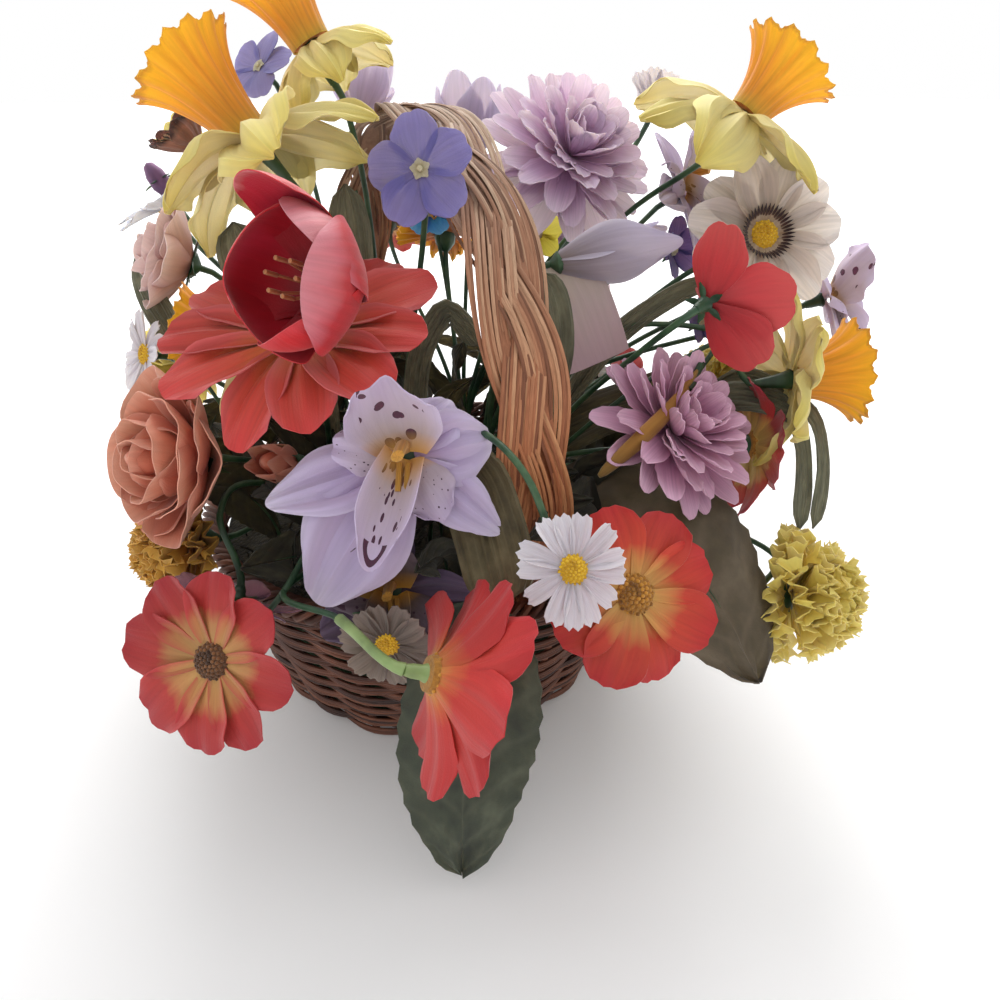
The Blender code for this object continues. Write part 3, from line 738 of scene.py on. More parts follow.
def petal(
    flower, turn, length, width, opens=15, curls=-20, cup=0.2, outline=(0.35, 0.55, 0.5), tip=0.25,
    notch=0.0, fray=0.0, ridges=0, ridge=0.03, ruffle=0.0, waves=3, twist=0.0, start=0.003, rise=0.0,
    grid=(6, 8), kind=0, tone=0.5, thick=0.0004, lining=None,
):
    """A petal cut flat, then bent: it leaves the centre at opens degrees above the flower's plane and
    turns by curls degrees on the way to its tip."""
    bend = radians(curls if abs(curls) > 0.1 else 0.1) / length
    lean = radians(opens)
    around = Matrix.Rotation(radians(turn), 3, "Z")

    def shape(a, t):
        tooth = round((a + 1) / 2 * grid[0]) % 2
        nick = notch * max(0, 1 - 3 * abs(a)) * t**4 + fray * tooth * t**5
        run = length * (t - tip * (1 - sqrt(1 - 0.94 * a * a)) * t**2 - nick)
        half = width / 2 * width_share(t, outline)
        lift = half * cup * a * a
        wave = t**2 * sin(waves * pi * a + 40 * tone) + abs(a) ** 3 * sin(waves * 2 * pi * t + 70 * tone) * t
        lift += ruffle * half * wave
        if ridges:
            lift += width * ridge * cos(ridges * pi * a) * sin(pi * t) ** 0.5
        angle = lean + bend * run
        sweep = radians(twist) * t
        off = a * half * cos(sweep) - lift * sin(sweep)
        up = a * half * sin(sweep) + lift * cos(sweep)
        out = start + (sin(angle) - sin(lean)) / bend - up * sin(angle)
        return around @ Vector((out, off, rise + (cos(lean) - cos(angle)) / bend + up * cos(angle)))

    sheet(flower, grid[0], grid[1], shape, thick, kind, tone, lining=lining)


def turned(flower, profile, steps=16, kind=0, tone=0.5, ripple=None):
    """A closed shape turned round the flower's axis from (radius, height) pairs."""
    last = len(profile) - 1

    def shape(a, t):
        radius, level = profile[round(t * last)]
        if ripple:
            radius, level = ripple(pi * a, t, radius, level)
        return Vector((radius * cos(pi * a), radius * sin(pi * a), level))

    sheet(flower, steps, last, shape, kind=kind, tone=tone, closed=True)


def calyx(flower, depth, radius, kind, sepals=0):
    """The green cup behind a flower, with its pointed sepals."""
    profile = [(0, -depth - 0.001), (0.0020, -depth), (0.0026, -0.7 * depth), (0.75 * radius, -0.35 * depth)]
    profile += [(radius, -0.0012), (0.8 * radius, 0.0002), (0, 0.0006)]
    turned(flower, profile, 12, kind)
    for i in range(sepals):
        angle = 360 * i / sepals
        petal(
            flower, angle, radius * 2.2, radius * 0.9, 25, -40, start=0.5 * radius, rise=-0.002, grid=(4, 5),
            kind=kind
        )


def silk(name, stops, veins=0.3, vein_count=16, glow=0.3, edge=None, marks=None, roughness=0.75):
    """Dyed and pressed silk: the colour runs from base to tip through the stops (how far along, red,
    green, blue), with pressed veins and a fine weave."""
    cloth = Finish(name, roughness=roughness, sheen=0.15, glow=glow)
    parts = cloth.add("SeparateXYZ", {0: cloth.coordinates("blade")})
    across, along = parts.outputs["X"], parts.outputs["Y"]
    smear = cloth.noise(cloth.coordinates("blade", (5, 1.6, 1)), 1.0, 2.0, own=30)
    run = cloth.math("MULTIPLY_ADD", cloth.math("SUBTRACT", smear, 0.5), 0.35, along)
    colour = cloth.ramp(run, [(at, dye(*shade)) for at, *shade in stops])
    if edge:
        rim = cloth.math("POWER", cloth.math("ABSOLUTE", cloth.math("MULTIPLY_ADD", across, 2.0, -1.0)), 5.0)
        colour = cloth.mix(cloth.math("MULTIPLY", rim, 0.7), colour, edge)
    vein = cloth.noise(cloth.coordinates("blade", (vein_count, 1.2, 1)), 1.0, 2.5, own=30)
    shade = 1 - veins
    pressed = cloth.ramp(vein, [(0.32, (shade, shade, shade, 1)), (0.62, (1, 1, 1, 1))])
    colour = cloth.mix(1.0, colour, pressed, "MULTIPLY")
    own_shade = cloth.ramp(cloth.tone(), [(0.0, (0.84, 0.82, 0.82, 1)), (1.0, (1.06, 1.06, 1.06, 1))])
    colour = cloth.mix(1.0, colour, own_shade, "MULTIPLY")
    if marks:
        colour = marks(cloth, colour, across, along)
    weave = cloth.noise(cloth.coordinates("object"), 1800.0, 2.0)
    relief = cloth.math("MULTIPLY_ADD", weave, 0.35, vein)
    return cloth.done(colour, relief, 0.0005, 0.55)


def set_head(name, flower, finishes, slot, roll=0, faces=None, centre=None):
    """Puts a flower that was built facing +Z where its solid is, turned the way its head faces."""
    bearing, tilt = faces or (HEADS[name].faces, HEADS[name].tilt)
    facing = direction(bearing, tilt)
    side = Vector((0, 0, 1)).cross(facing).normalized()
    turn = Matrix((side, facing.cross(side), facing)).transposed().to_4x4()
    matrix = Matrix.Translation(centre or head_centre(name)) @ turn @ Matrix.Rotation(radians(roll), 4, "Z")
    bmesh.ops.transform(flower, matrix=matrix, verts=flower.verts)
    finish_piece(name + "_bloom", flower, finishes, slot, *([name] if name in HEADS else []))


FLUTES = 14


def daffodil(length, width, opens, curls, seed, depth, long, mouth, lift):
    draw = random.Random(seed)
    flower = new_piece()
    for i in range(6):
        petal(
            flower, 60 * i + draw.uniform(-6, 6), length * draw.uniform(0.90, 1.06),
            width * draw.uniform(0.88, 1.08),
            opens + 7 * (i % 2) + lift[1] * cos(radians(60 * i - lift[0])) + draw.uniform(-5, 5),
            curls + draw.uniform(-18, 18), cup=-0.08, outline=(0.40, 0.48, 0.22), tip=0.10, ridges=3,
            ridge=0.055, ruffle=0.20, waves=2, twist=draw.uniform(-24, 24), start=0.005,
            rise=-0.001 - 0.0008 * (i % 2), grid=(14, 16), tone=draw.random(),
        )

    def trumpet(a, t):
        turn = pi * a
        wave = cos(FLUTES * turn + 0.7 * sin(2 * turn))
        frill = cos(3 * FLUTES * turn) * t**8
        crimp = 1 + 0.070 * wave * min(1, 1.2 * t) + 0.008 * frill
        radius = (0.0085 + 0.0030 * t + (mouth - 0.0115) * t**2.4) * crimp
        nod = 0.0010 * cos(3 * turn) * t**4
        level = long * (t - 0.07 * t**7) + 0.0005 * wave * t**5 + 0.0004 * frill + nod
        return Vector((radius * cos(turn), radius * sin(turn), level))

    sheet(flower, 126, 14, trumpet, 0.0005, 1, 0.5, closed=True)
    turned(flower, [(0, 0.0005), (0.0088, 0.0006), (0.0082, 0.002), (0, 0.0022)], 16, 1)
    for i in range(6):
        lean = Vector((cos(i), sin(i), 0)) * 0.0025
        tip_point = lean + Vector((0, 0, long * draw.uniform(0.5, 0.6)))
        tube(flower, [lean * 0.6, tip_point], 0.0006, sides=5, kind=3)
        tube(flower, [tip_point, tip_point + Vector((0, 0, 0.004))], 0.0012, sides=6, kind=3)
    calyx(flower, depth, 0.0048, 2)
    return flower


petal_yellow = silk(
    "daffodil_petal_silk",
    [(0.0, 236, 214, 110), (0.35, 246, 230, 146), (0.8, 240, 218, 108), (1.0, 224, 196, 76)], veins=0.18,
    glow=0.35,
)
trumpet_orange = silk(
    "daffodil_trumpet_silk",
    [
        (0.0, 206, 160, 44), (0.25, 226, 138, 24), (0.6, 240, 134, 14), (0.95, 250, 146, 12),
        (1.0, 196, 100, 16)
    ],
    veins=0.3, vein_count=40, glow=0.3,
)
pollen_yellow = silk("daffodil_stamen", [(0.0, 200, 170, 60), (1.0, 214, 176, 70)], veins=0.3)
# Each head: its petals (length, width, opening, curl and seed), its turn, how long its trumpet is and
# how wide its mouth, and the side its petals lift on and by how much
DAFFODILS = {
    "daffodil_left": ((0.054, 0.044, -6, -44, 21), 30, 0.040, 0.0235, (300, 16)),
    "daffodil_top": ((0.034, 0.029, -20, -50, 22), 15, 0.036, 0.0235, (90, 6)),
    "daffodil_right": ((0.050, 0.038, -3, -38, 23), 30, 0.030, 0.0235, (270, 32)),
    "daffodil_low_left": ((0.046, 0.032, 2, -50, 24), 0, 0.029, 0.019, (0, 0)),
    "daffodil_low_right": ((0.044, 0.032, 6, -50, 25), 10, 0.029, 0.0235, (90, 12)),
}
daffodil_finishes = [petal_yellow, trumpet_orange, stem_green, pollen_yellow]
for name, (petals, roll, *rest) in DAFFODILS.items():
    flower = daffodil(*petals, HEADS[name].depth, *rest)
    set_head(name, flower, daffodil_finishes, "daffodil_yellow", roll)

# ---------------------------------------------------------------- Tulips
# Six broad petals closed into a goblet round a ring of stamens. The crimson one is lined in a
# darker red, with a pale pink edge, and the others are brushed with lilac.


def tulip(length, width, opens, curls, seed, depth, loose=(), outline=(0.42, 0.58, 0.60)):
    draw = random.Random(seed)
    flower = new_piece()
    floor_level = -depth + 0.004
    shapes = [
        (60 * i + draw.uniform(-4, 4), 1, 1, opens + 6 * (i % 2), curls + draw.uniform(-6, 6), 0)
        for i in range(6)
    ]
    for i, (turn, long, wide, lean, bend, kind) in enumerate(loose or shapes):
        petal(
            flower, turn, length * long * draw.uniform(0.95, 1.05), width * wide, lean, bend, cup=0.42,
            outline=outline, tip=0.24, ruffle=0.05, waves=1, start=0.004 - 0.0012 * (i % 2),
            rise=floor_level + 0.0008 * (i % 2), grid=(14, 16), kind=kind, tone=draw.random(), lining=3,
        )
    for i in range(6):
        lean = Vector((cos(i), sin(i), 0)) * 0.004
        foot = Vector((0, 0, floor_level + 0.002))
        head = foot + 1.6 * lean + Vector((0, 0, 0.45 * length))
        tube(flower, [foot + 0.3 * lean, head], 0.0006, sides=5, kind=2)
        tube(flower, [head, head + Vector((0, 0, 0.006))], 0.0009, sides=6, kind=2)
    cup = [
        (0, -depth - 0.001), (0.0020, -depth), (0.0055, floor_level - 0.0005),
        (0.0045, floor_level + 0.002), (0, floor_level + 0.003)
    ]
    turned(flower, cup, 12, 1)
    return flower


crimson = silk(
    "tulip_red_silk", [(0.0, 150, 16, 22), (0.3, 190, 14, 22), (0.9, 200, 16, 26), (1.0, 206, 40, 50)],
    veins=0.12, glow=0.1, roughness=0.55,
)
crimson_lining = silk(
    "tulip_crimson_silk",
    [(0.0, 120, 6, 24), (0.3, 176, 12, 34), (0.90, 196, 18, 42), (0.97, 208, 84, 96), (1.0, 222, 112, 124)],
    veins=0.12, glow=0.05, roughness=0.55,
)
crimson_pink = silk(
    "tulip_pink_rimmed_silk",
    [
        (0.0, 150, 20, 26), (0.4, 190, 22, 30), (0.70, 198, 30, 40), (0.86, 214, 104, 116),
        (1.0, 216, 124, 136)
    ],
    veins=0.18, glow=0.1, roughness=0.55,
)
pale_tulip = silk(
    "tulip_pale_silk",
    [(0.0, 160, 142, 138), (0.3, 190, 172, 184), (0.7, 204, 190, 216), (1.0, 206, 190, 224)], veins=0.12,
    glow=0.3, edge=dye(224, 214, 234),
)
lilac_tulip = silk(
    "tulip_lilac_silk", [(0.0, 180, 160, 180), (0.4, 204, 180, 214), (1.0, 222, 204, 234)], veins=0.15,
    glow=0.35,
)
anther = silk("tulip_anther", [(0.0, 160, 84, 60), (1.0, 190, 120, 70)], veins=0.3)
mauve_tulip = silk(
    "tulip_mauve_silk", [(0.0, 176, 160, 146), (0.4, 180, 154, 156), (1.0, 190, 146, 164)], veins=0.08,
    glow=0.25,
)
# The red one's petals, as their turn, length, width, opening, curl and cloth: they close into a globe
# that is open towards the front, and two of them roll back and show their pink rims
RED_PETALS = (
    (98, 1.20, 0.80, 18, 88, 0), (156, 1.08, 1.30, 4, 136, 0), (52, 1.14, 1.25, 8, 120, 4),
    (358, 1.12, 1.25, 6, 124, 4), (212, 0.94, 1.35, 4, 116, 0), (300, 1.0, 1.30, 8, 112, 0),
)
flower = tulip(0.0475, 0.037, 28, 80, 31, HEADS["tulip_red"].depth, RED_PETALS, (0.50, 0.56, 0.76))
set_head("tulip_red", flower, [crimson, stem_green, anther, crimson_lining, crimson_pink], "crimson", 0)
# The white one has opened wide: one petal still points forwards and a square-ended one hangs down
WHITE_PETALS = ((176, 1.02, 0.72, 74, 10, 0), (20, 0.92, 0.62, 78, 10, 0), (100, 0.90, 0.5, 80, 8, 0))
white_depth = HEADS["tulip_white"].depth
flower = tulip(0.056, 0.040, 8, 55, 32, white_depth, WHITE_PETALS, (0.36, 0.5, 0.34))
set_head("tulip_white", flower, [pale_tulip, stem_green, anther, pale_tulip], "tulip_pale", 0)
hanging = new_piece()
petal(
    hanging, 291, 0.050, 0.038, 4, -14, cup=0.12, outline=(0.62, 0.40, 0.95), tip=0.04, ruffle=0.06, waves=1,
    start=0.001, grid=(14, 12), tone=0.4,
)
hang_from = head_centre("tulip_white") - 0.9 * white_depth * direction(65, 12)
set_head("tulip_hanging_petal", hanging, [mauve_tulip], "tulip_pale", 0, (-22, 24), hang_from)
flower = tulip(0.043, 0.031, 30, 70, 33, HEADS["tulip_lilac"].depth)
set_head("tulip_lilac", flower, [lilac_tulip, stem_green, anther, lilac_tulip], "tulip_pale", 0)

# ---------------------------------------------------------------- Zinnia, gerberas and gaillardia
# Orange and red daisies with broad creased petals that turn yellow at the base, wired round a
# flocked brown or golden button.

GOLDEN_TURN = 2.39996


def button(flower, radius, height, count, kind):
    """The button of a daisy: a low dome set with florets in spirals."""
    dome = [(0, -0.002), (radius * 0.9, -0.001), (radius, 0.3 * height), (radius * 0.7, 0.8 * height)]
    turned(flower, [*dome, (0, height)], 16, kind, 0.35)
    for i in range(count):
        share = sqrt((i + 0.5) / count)
        turn = GOLDEN_TURN * i
        out = radius * share
        spot = Vector((out * cos(turn), out * sin(turn), height * (1 - 0.8 * share**3)))
        part = new_piece()
        bmesh.ops.create_icosphere(
            part, subdivisions=1, radius=0.12 * radius, matrix=Matrix.Translation(spot)
        )
        tones = part.verts.layers.float["tone"]
        for vert in part.verts:
            vert[tones] = (0.37 * i) % 1
        for face in part.faces:
            face.material_index = kind
            face.smooth = True
        join(flower, part)


def ray_flower(
    count, length, width, opens, curls, seed, depth, layers=1, outline=(0.35, 0.65, 0.6), tip=0.3, notch=0.0,
    fray=0.0, ridge=0.03, middle=0.008, dome=0.004, florets=60, start=None, cup_radius=0.0055, lining=None,
):
    """A daisy: rays of petals round a button, with its calyx behind."""
    draw = random.Random(seed)
    flower = new_piece()
    for layer in range(layers):
        for i in range(count):
            petal(
                flower, 360 * (i + 0.5 * layer) / count + draw.uniform(-5, 5),
                length * draw.uniform(0.93, 1.05) * (1 - 0.14 * layer), width * draw.uniform(0.9, 1.08),
                opens + 14 * layer + draw.uniform(-6, 6), curls + draw.uniform(-12, 12), cup=0.15,
                outline=outline, tip=tip, notch=notch, fray=fray, ridges=2, ridge=ridge, ruffle=0.08,
                waves=2, twist=draw.uniform(-10, 10), start=start or 0.6 * middle,
                rise=0.0008 * layer + 0.0004 * (i % 2), grid=(8, 10), tone=draw.random(), lining=lining,
            )
    button(flower, middle, dome, florets, 1)
    calyx(flower, depth, cup_radius, 2)
    return flower


def button_finish(name, dark, light):
    """Flocked florets: dark between, pale on their heads."""
    flock = Finish(name, roughness=0.9, sheen=0.2)
    fuzz = flock.noise(flock.coordinates("object"), 900.0, 2.0)
    share = flock.math("MULTIPLY_ADD", flock.tone(), 0.6, flock.math("MULTIPLY", fuzz, 0.5))
    return flock.done(flock.ramp(share, [(0.2, dark), (0.75, light)]), fuzz, 0.0004, 0.8)


zinnia_silk = silk(
    "zinnia_silk", [(0.0, 206, 140, 44), (0.18, 208, 100, 40), (0.45, 204, 58, 36), (1.0, 204, 44, 42)],
    veins=0.2, glow=0.08, edge=dye(214, 100, 104), roughness=0.6,
)
gerbera_silk = silk(
    "gerbera_silk", [(0.0, 214, 166, 84), (0.25, 214, 140, 70), (0.48, 206, 58, 34), (1.0, 192, 26, 28)],
    veins=0.14, glow=0.08, roughness=0.6,
)
gerbera_red_silk = silk(
    "gerbera_red_silk", [(0.0, 196, 152, 84), (0.36, 194, 128, 70), (0.56, 184, 40, 34), (1.0, 170, 20, 30)],
    veins=0.14, glow=0.06, edge=dye(196, 60, 62), roughness=0.6,
)
gerbera_deep_silk = silk(
    "gerbera_deep_silk", [(0.0, 206, 140, 60), (0.16, 206, 92, 40), (0.34, 198, 36, 26), (1.0, 186, 16, 24)],
    veins=0.14, glow=0.08, roughness=0.6,
)
gaillardia_silk = silk(
    "gaillardia_silk", [(0.0, 220, 186, 96), (0.34, 218, 158, 78), (0.52, 184, 42, 38), (1.0, 152, 18, 38)],
    veins=0.16, glow=0.15, roughness=0.6,
)
brown_button = button_finish("brown_button", dye(52, 32, 22), dye(128, 84, 48))
gold_button = button_finish("gold_button", dye(110, 70, 28), dye(206, 146, 56))
yellow_button = button_finish("yellow_button", dye(190, 142, 20), dye(232, 190, 44))
# Each head: its rays (count, length, width, opening, curl and seed), its cloths, its turn and the rest
RAY_FLOWERS = {
    "zinnia_red": (
        (11, 0.052, 0.027, 12, -22, 41), (zinnia_silk, brown_button, stem_green), 0,
        {"outline": (0.26, 0.66, 0.86), "tip": 0.26, "ridge": 0.06, "florets": 50},
    ),
    "gerbera_right": (
        (8, 0.0325, 0.0272, 12, -18, 42), (gerbera_silk, gold_button, stem_green), 12,
        {"outline": (0.36, 0.7, 0.84), "tip": 0.22, "fray": 0.02, "ridge": 0.02, "middle": 0.0085},
    ),
    "gerbera_left": (
        (8, 0.033, 0.0238, 14, -20, 43), (gerbera_red_silk, brown_button, stem_green), 0,
        {"outline": (0.34, 0.68, 0.88), "tip": 0.24, "fray": 0.012, "middle": 0.0075, "florets": 70},
    ),
    "gerbera_low": (
        (9, 0.040, 0.028, 30, -24, 44), (gerbera_deep_silk, gold_button, lit_stem_green), 0,
        {"outline": (0.30, 0.66, 0.84), "tip": 0.26, "fray": 0.015, "middle": 0.007, "cup_radius": 0.0036},
    ),
    "gaillardia": (
        (8, 0.034, 0.022, 10, -50, 45), (gaillardia_silk, gold_button, stem_green), 0,
        {"outline": (0.36, 0.65, 0.7), "tip": 0.26, "ridge": 0.04, "middle": 0.007},
    ),
    "gerbera_back": (
        (10, 0.030, 0.024, 12, -18, 46), (gerbera_silk, brown_button, stem_green), 0, {"layers": 2}
    ),
}
for name, (rays, finishes, roll, rest) in RAY_FLOWERS.items():
    set_head(name, ray_flower(*rays, HEADS[name].depth, **rest), finishes, "orange_red", roll)

# ---------------------------------------------------------------- White daisies
# A dozen or so narrow white rays with nicked ends round a flat yellow button. The low one is
# white cloth painted grey-brown: painted shade.

daisy_white = silk(
    "daisy_white_silk", [(0.0, 196, 184, 186), (0.3, 222, 210, 216), (1.0, 236, 228, 232)], veins=0.14,
    glow=0.35,
)
# A darker, browner copy of the white cloth for the low daisy: painted shade.
daisy_shaded_white = silk(
    "daisy_painted_shade_silk", [(0.0, 92, 78, 70), (0.5, 116, 102, 92), (1.0, 134, 118, 108)], veins=0.2
)
# Each head: its rays (count, length, width, opening, curl and seed), its button's radius and its cloth
DAISIES = {
    "daisy_front": ((13, 0.0185, 0.0078, 6, -14, 51), 0.0058, daisy_white),
    "daisy_left": ((13, 0.0185, 0.0078, 10, -14, 52), 0.0058, daisy_white),
    "daisy_top": ((13, 0.018, 0.0095, 30, 10, 53), 0.0055, daisy_white),
    "daisy_low": ((12, 0.017, 0.0090, 8, -10, 54), 0.0052, daisy_shaded_white),
}
for name, (rays, middle, cloth) in DAISIES.items():
    flower = ray_flower(
        *rays, HEADS[name].depth, outline=(0.36, 0.72, 0.90), tip=0.14, notch=0.10, fray=0.035, ridge=0.05,
        middle=middle, dome=0.0022, cup_radius=0.004,
    )
    set_head(name, flower, (cloth, yellow_button, stem_green), "daisy_white", 8)

# ---------------------------------------------------------------- Gazanias
# Cream rays round a yellow button, with a ring of short dark bars laid on them. The left one is brown
# outside and golden inside, and has half closed.

cream_silk = silk(
    "gazania_cream_silk",
    [(0.0, 186, 156, 122), (0.3, 214, 194, 176), (0.7, 228, 212, 200), (1.0, 234, 222, 214)], veins=0.2,
    glow=0.3,
)
brown_silk = silk(
    "gazania_brown_silk", [(0.0, 150, 100, 84), (0.6, 164, 110, 92), (0.85, 60, 34, 34), (1.0, 46, 28, 30)],
    veins=0.4, vein_count=8, glow=0.15,
)
golden_lining = silk("gazania_golden_silk", [(0.0, 206, 170, 50), (1.0, 232, 208, 90)], veins=0.15, glow=0.3)
bar_black = silk(
    "gazania_bar", [(0.0, 112, 80, 60), (0.4, 58, 30, 30), (1.0, 44, 24, 28)], veins=0.3, glow=0.0
)

GAZANIA_BARS = 40


def gazania(
    count, length, width, opens, curls, seed, depth, ring, ring_level=0.001, ring_opens=58, lining=None
):
    flower = ray_flower(
        count, length, width, opens, curls, seed, depth, outline=(0.42, 0.62, 0.78), tip=0.26, ridge=0.05,
        middle=0.0065, dome=0.003, florets=50, start=0.006, lining=lining,
    )
    for i in range(GAZANIA_BARS):
        petal(
            flower, 360 / GAZANIA_BARS * i, 0.0065, 0.0013, ring_opens, -20, start=ring, rise=ring_level,
            grid=(2, 4), kind=3, tone=(0.31 * i) % 1, thick=0.0003,
        )
    return flower


flower = gazania(11, 0.031, 0.021, 14, -12, 61, HEADS["gazania_right"].depth, 0.0085)
gazania_finishes = [cream_silk, yellow_button, stem_green, bar_black]
set_head("gazania_right", flower, gazania_finishes, "gazania_cream", 6)
flower = gazania(13, 0.017, 0.012, 50, 12, 62, HEADS["gazania_left"].depth, 0.0105, 0.0075, 50, 4)
gazania_finishes = [brown_silk, yellow_button, stem_green, bar_black, golden_lining]
set_head("gazania_left", flower, gazania_finishes, "gazania_cream", 0, (-96, 46))

# ---------------------------------------------------------------- Periwinkles, violets and anemone
# Five rounded silk petals cut in one piece and cupped by hand, with a cream star or a dark eye. A
# small peg through the middle holds them on the calyx.

# Each of five petals: its turn, length and width, and how much more than the others it closes
EVEN_FIVE = tuple((90 + 72 * i, 1, 1, 0) for i in range(5))


def five_petals(length, width, opens, curls, seed, depth, table=EVEN_FIVE):
    draw = random.Random(seed)
    flower = new_piece()
    for i, (turn, long, wide, lift) in enumerate(table):
        petal(
            flower, turn + draw.uniform(-3, 3), length * long * draw.uniform(0.95, 1.04), width * wide,
            opens + lift + draw.uniform(-5, 5), curls + draw.uniform(-8, 8), cup=0.12,
            outline=(0.24, 0.70, 0.84), tip=0.34, notch=0.05, ruffle=0.05, waves=1, ridges=1, ridge=0.015,
            twist=-12, start=0.0015, rise=0.0005 * (i % 2), grid=(10, 9), tone=draw.random(),
        )
        petal(
            flower, 90 + 72 * i, 0.0035, 0.0035, 35, -60, outline=(0.5, 0.6, 0.5), start=0.0006, rise=0.001,
            grid=(4, 4), kind=1,
        )
    turned(flower, [(0, 0), (0.0012, 0.0003), (0.0011, 0.0028), (0, 0.0032)], 8, 1)
    calyx(flower, depth, 0.0035, 2, sepals=5)
    return flower


periwinkle_silk = silk(
    "periwinkle_silk", [(0.0, 126, 116, 166), (0.25, 98, 92, 156), (0.7, 98, 92, 160), (1.0, 112, 106, 174)],
    veins=0.16, glow=0.15,
)
violet_silk = silk(
    "violet_silk", [(0.0, 48, 34, 90), (0.5, 50, 38, 112), (1.0, 66, 52, 130)], veins=0.2, glow=0.15
)
# A darker, greyer copy of the violet cloth for the low violet: painted shade.
violet_painted_shade_silk = silk(
    "violet_painted_shade_silk", [(0.0, 40, 26, 42), (0.5, 60, 38, 64), (1.0, 78, 52, 82)], veins=0.2
)
anemone_silk = silk(
    "anemone_silk", [(0.0, 160, 22, 30), (0.5, 192, 30, 38), (1.0, 202, 48, 52)], veins=0.12, glow=0.12,
    roughness=0.55,
)
cream_eye = silk("cream_eye", [(0.0, 190, 176, 130), (1.0, 206, 194, 158)], veins=0.2)
dark_eye = silk("dark_eye", [(0.0, 50, 40, 40), (1.0, 96, 72, 60)], veins=0.2)
ANEMONE_PETALS = (
    (94, 1.0, 0.92, 0), (178, 1.1, 1.05, 8), (232, 1.08, 1.0, 0), (20, 0.8, 0.8, 50), (300, 0.8, 0.8, 50)
)
# Each head: its petals (length, width, opening, curl and seed), cloth, eye, slot, turn and petal table
FIVE_PETALS = {
    "periwinkle_front": (
        (0.0200, 0.0190, 8, -20, 71), periwinkle_silk, cream_eye, "periwinkle_blue", 12, EVEN_FIVE,
    ),
    "periwinkle_back": (
        (0.0215, 0.0205, 10, -20, 72), periwinkle_silk, cream_eye, "periwinkle_blue", 0, EVEN_FIVE,
    ),
    "violet_low": ((0.0280, 0.0240, 8, -26, 73), violet_painted_shade_silk, dark_eye, "violet_dark", 0, EVEN_FIVE),
    "violet_right": ((0.0165, 0.0145, 30, -10, 74), violet_silk, cream_eye, "violet_dark", 0, EVEN_FIVE),
    "anemone_red": ((0.0310, 0.0290, 22, -6, 75), anemone_silk, dark_eye, "crimson", 0, ANEMONE_PETALS),
}
for name, (shape, cloth, eye, slot, roll, table) in FIVE_PETALS.items():
    flower = five_petals(*shape, HEADS[name].depth, table)
    set_head(name, flower, [cloth, eye, stem_green], slot, roll)

# ---------------------------------------------------------------- Orchids
# Five lilac tepals, a cupped hood over the column and a long rolled lip. Hood and lip are hand
# spotted in maroon, and the throat is yellow.


def maroon_spots(rows, size, loop):
    """Marks for spotted silk: maroon dashes in so many rows each way, a yellow throat and, on a lip, a
    dark loop near its end."""

    def marks(cloth, colour, across, along):
        cells = {"Vector": cloth.coordinates("blade", (*rows, 1)), "Scale": 1.0, "Randomness": 0.8}
        spot = cloth.add("TexVoronoi", cells, feature="F1").outputs["Distance"]
        patch = cloth.noise(cloth.coordinates("blade", (3, 3, 1)), 1.0, 1.0, own=20)
        dash = cloth.math("LESS_THAN", spot, cloth.math("MULTIPLY", patch, size))
        side = cloth.math("SUBTRACT", across, 0.5)
        inside = cloth.math("LESS_THAN", cloth.math("ABSOLUTE", side), 0.34)
        mark = cloth.math("MULTIPLY", dash, inside)
        if loop:
            down = cloth.math("MULTIPLY", cloth.math("SUBTRACT", along, 0.80), 1.7)
            squares = cloth.math("ADD", cloth.math("POWER", side, 2.0), cloth.math("POWER", down, 2.0))
            off_ring = cloth.math("SUBTRACT", cloth.math("SQRT", squares), 0.22)
            ring = cloth.math("LESS_THAN", cloth.math("ABSOLUTE", off_ring), 0.055)
            mark = cloth.math("MULTIPLY", mark, cloth.math("LESS_THAN", along, 0.76))
            arc = cloth.math("MULTIPLY", ring, cloth.math("GREATER_THAN", down, -0.06))
            mark = cloth.math("MAXIMUM", mark, arc)
        colour = cloth.mix(mark, colour, dye(58, 26, 48))
        throat = cloth.math("MAXIMUM", cloth.math("SUBTRACT", 0.26, along), 0.0)
        return cloth.mix(cloth.math("MULTIPLY", throat, 3.4), colour, dye(206, 146, 44))

    return marks


# Each tepal: its turn round the flower, length, width, opening, curl and twist
TEPALS = (
    (200, 0.054, 0.027, 8, -10, 30), (238, 0.068, 0.043, 2, -10, 0), (320, 0.044, 0.022, 6, -26, -30),
    (12, 0.031, 0.030, 12, -56, 10), (52, 0.024, 0.024, 4, -40, 0),
)
EVEN_TEPALS = (
    (200, 0.036, 0.026, 8, -20, 10), (250, 0.038, 0.028, 10, -24, -6), (345, 0.036, 0.026, 6, -24, 10),
    (295, 0.036, 0.026, 8, -20, -10), (92, 0.034, 0.028, 10, -20, 0),
)


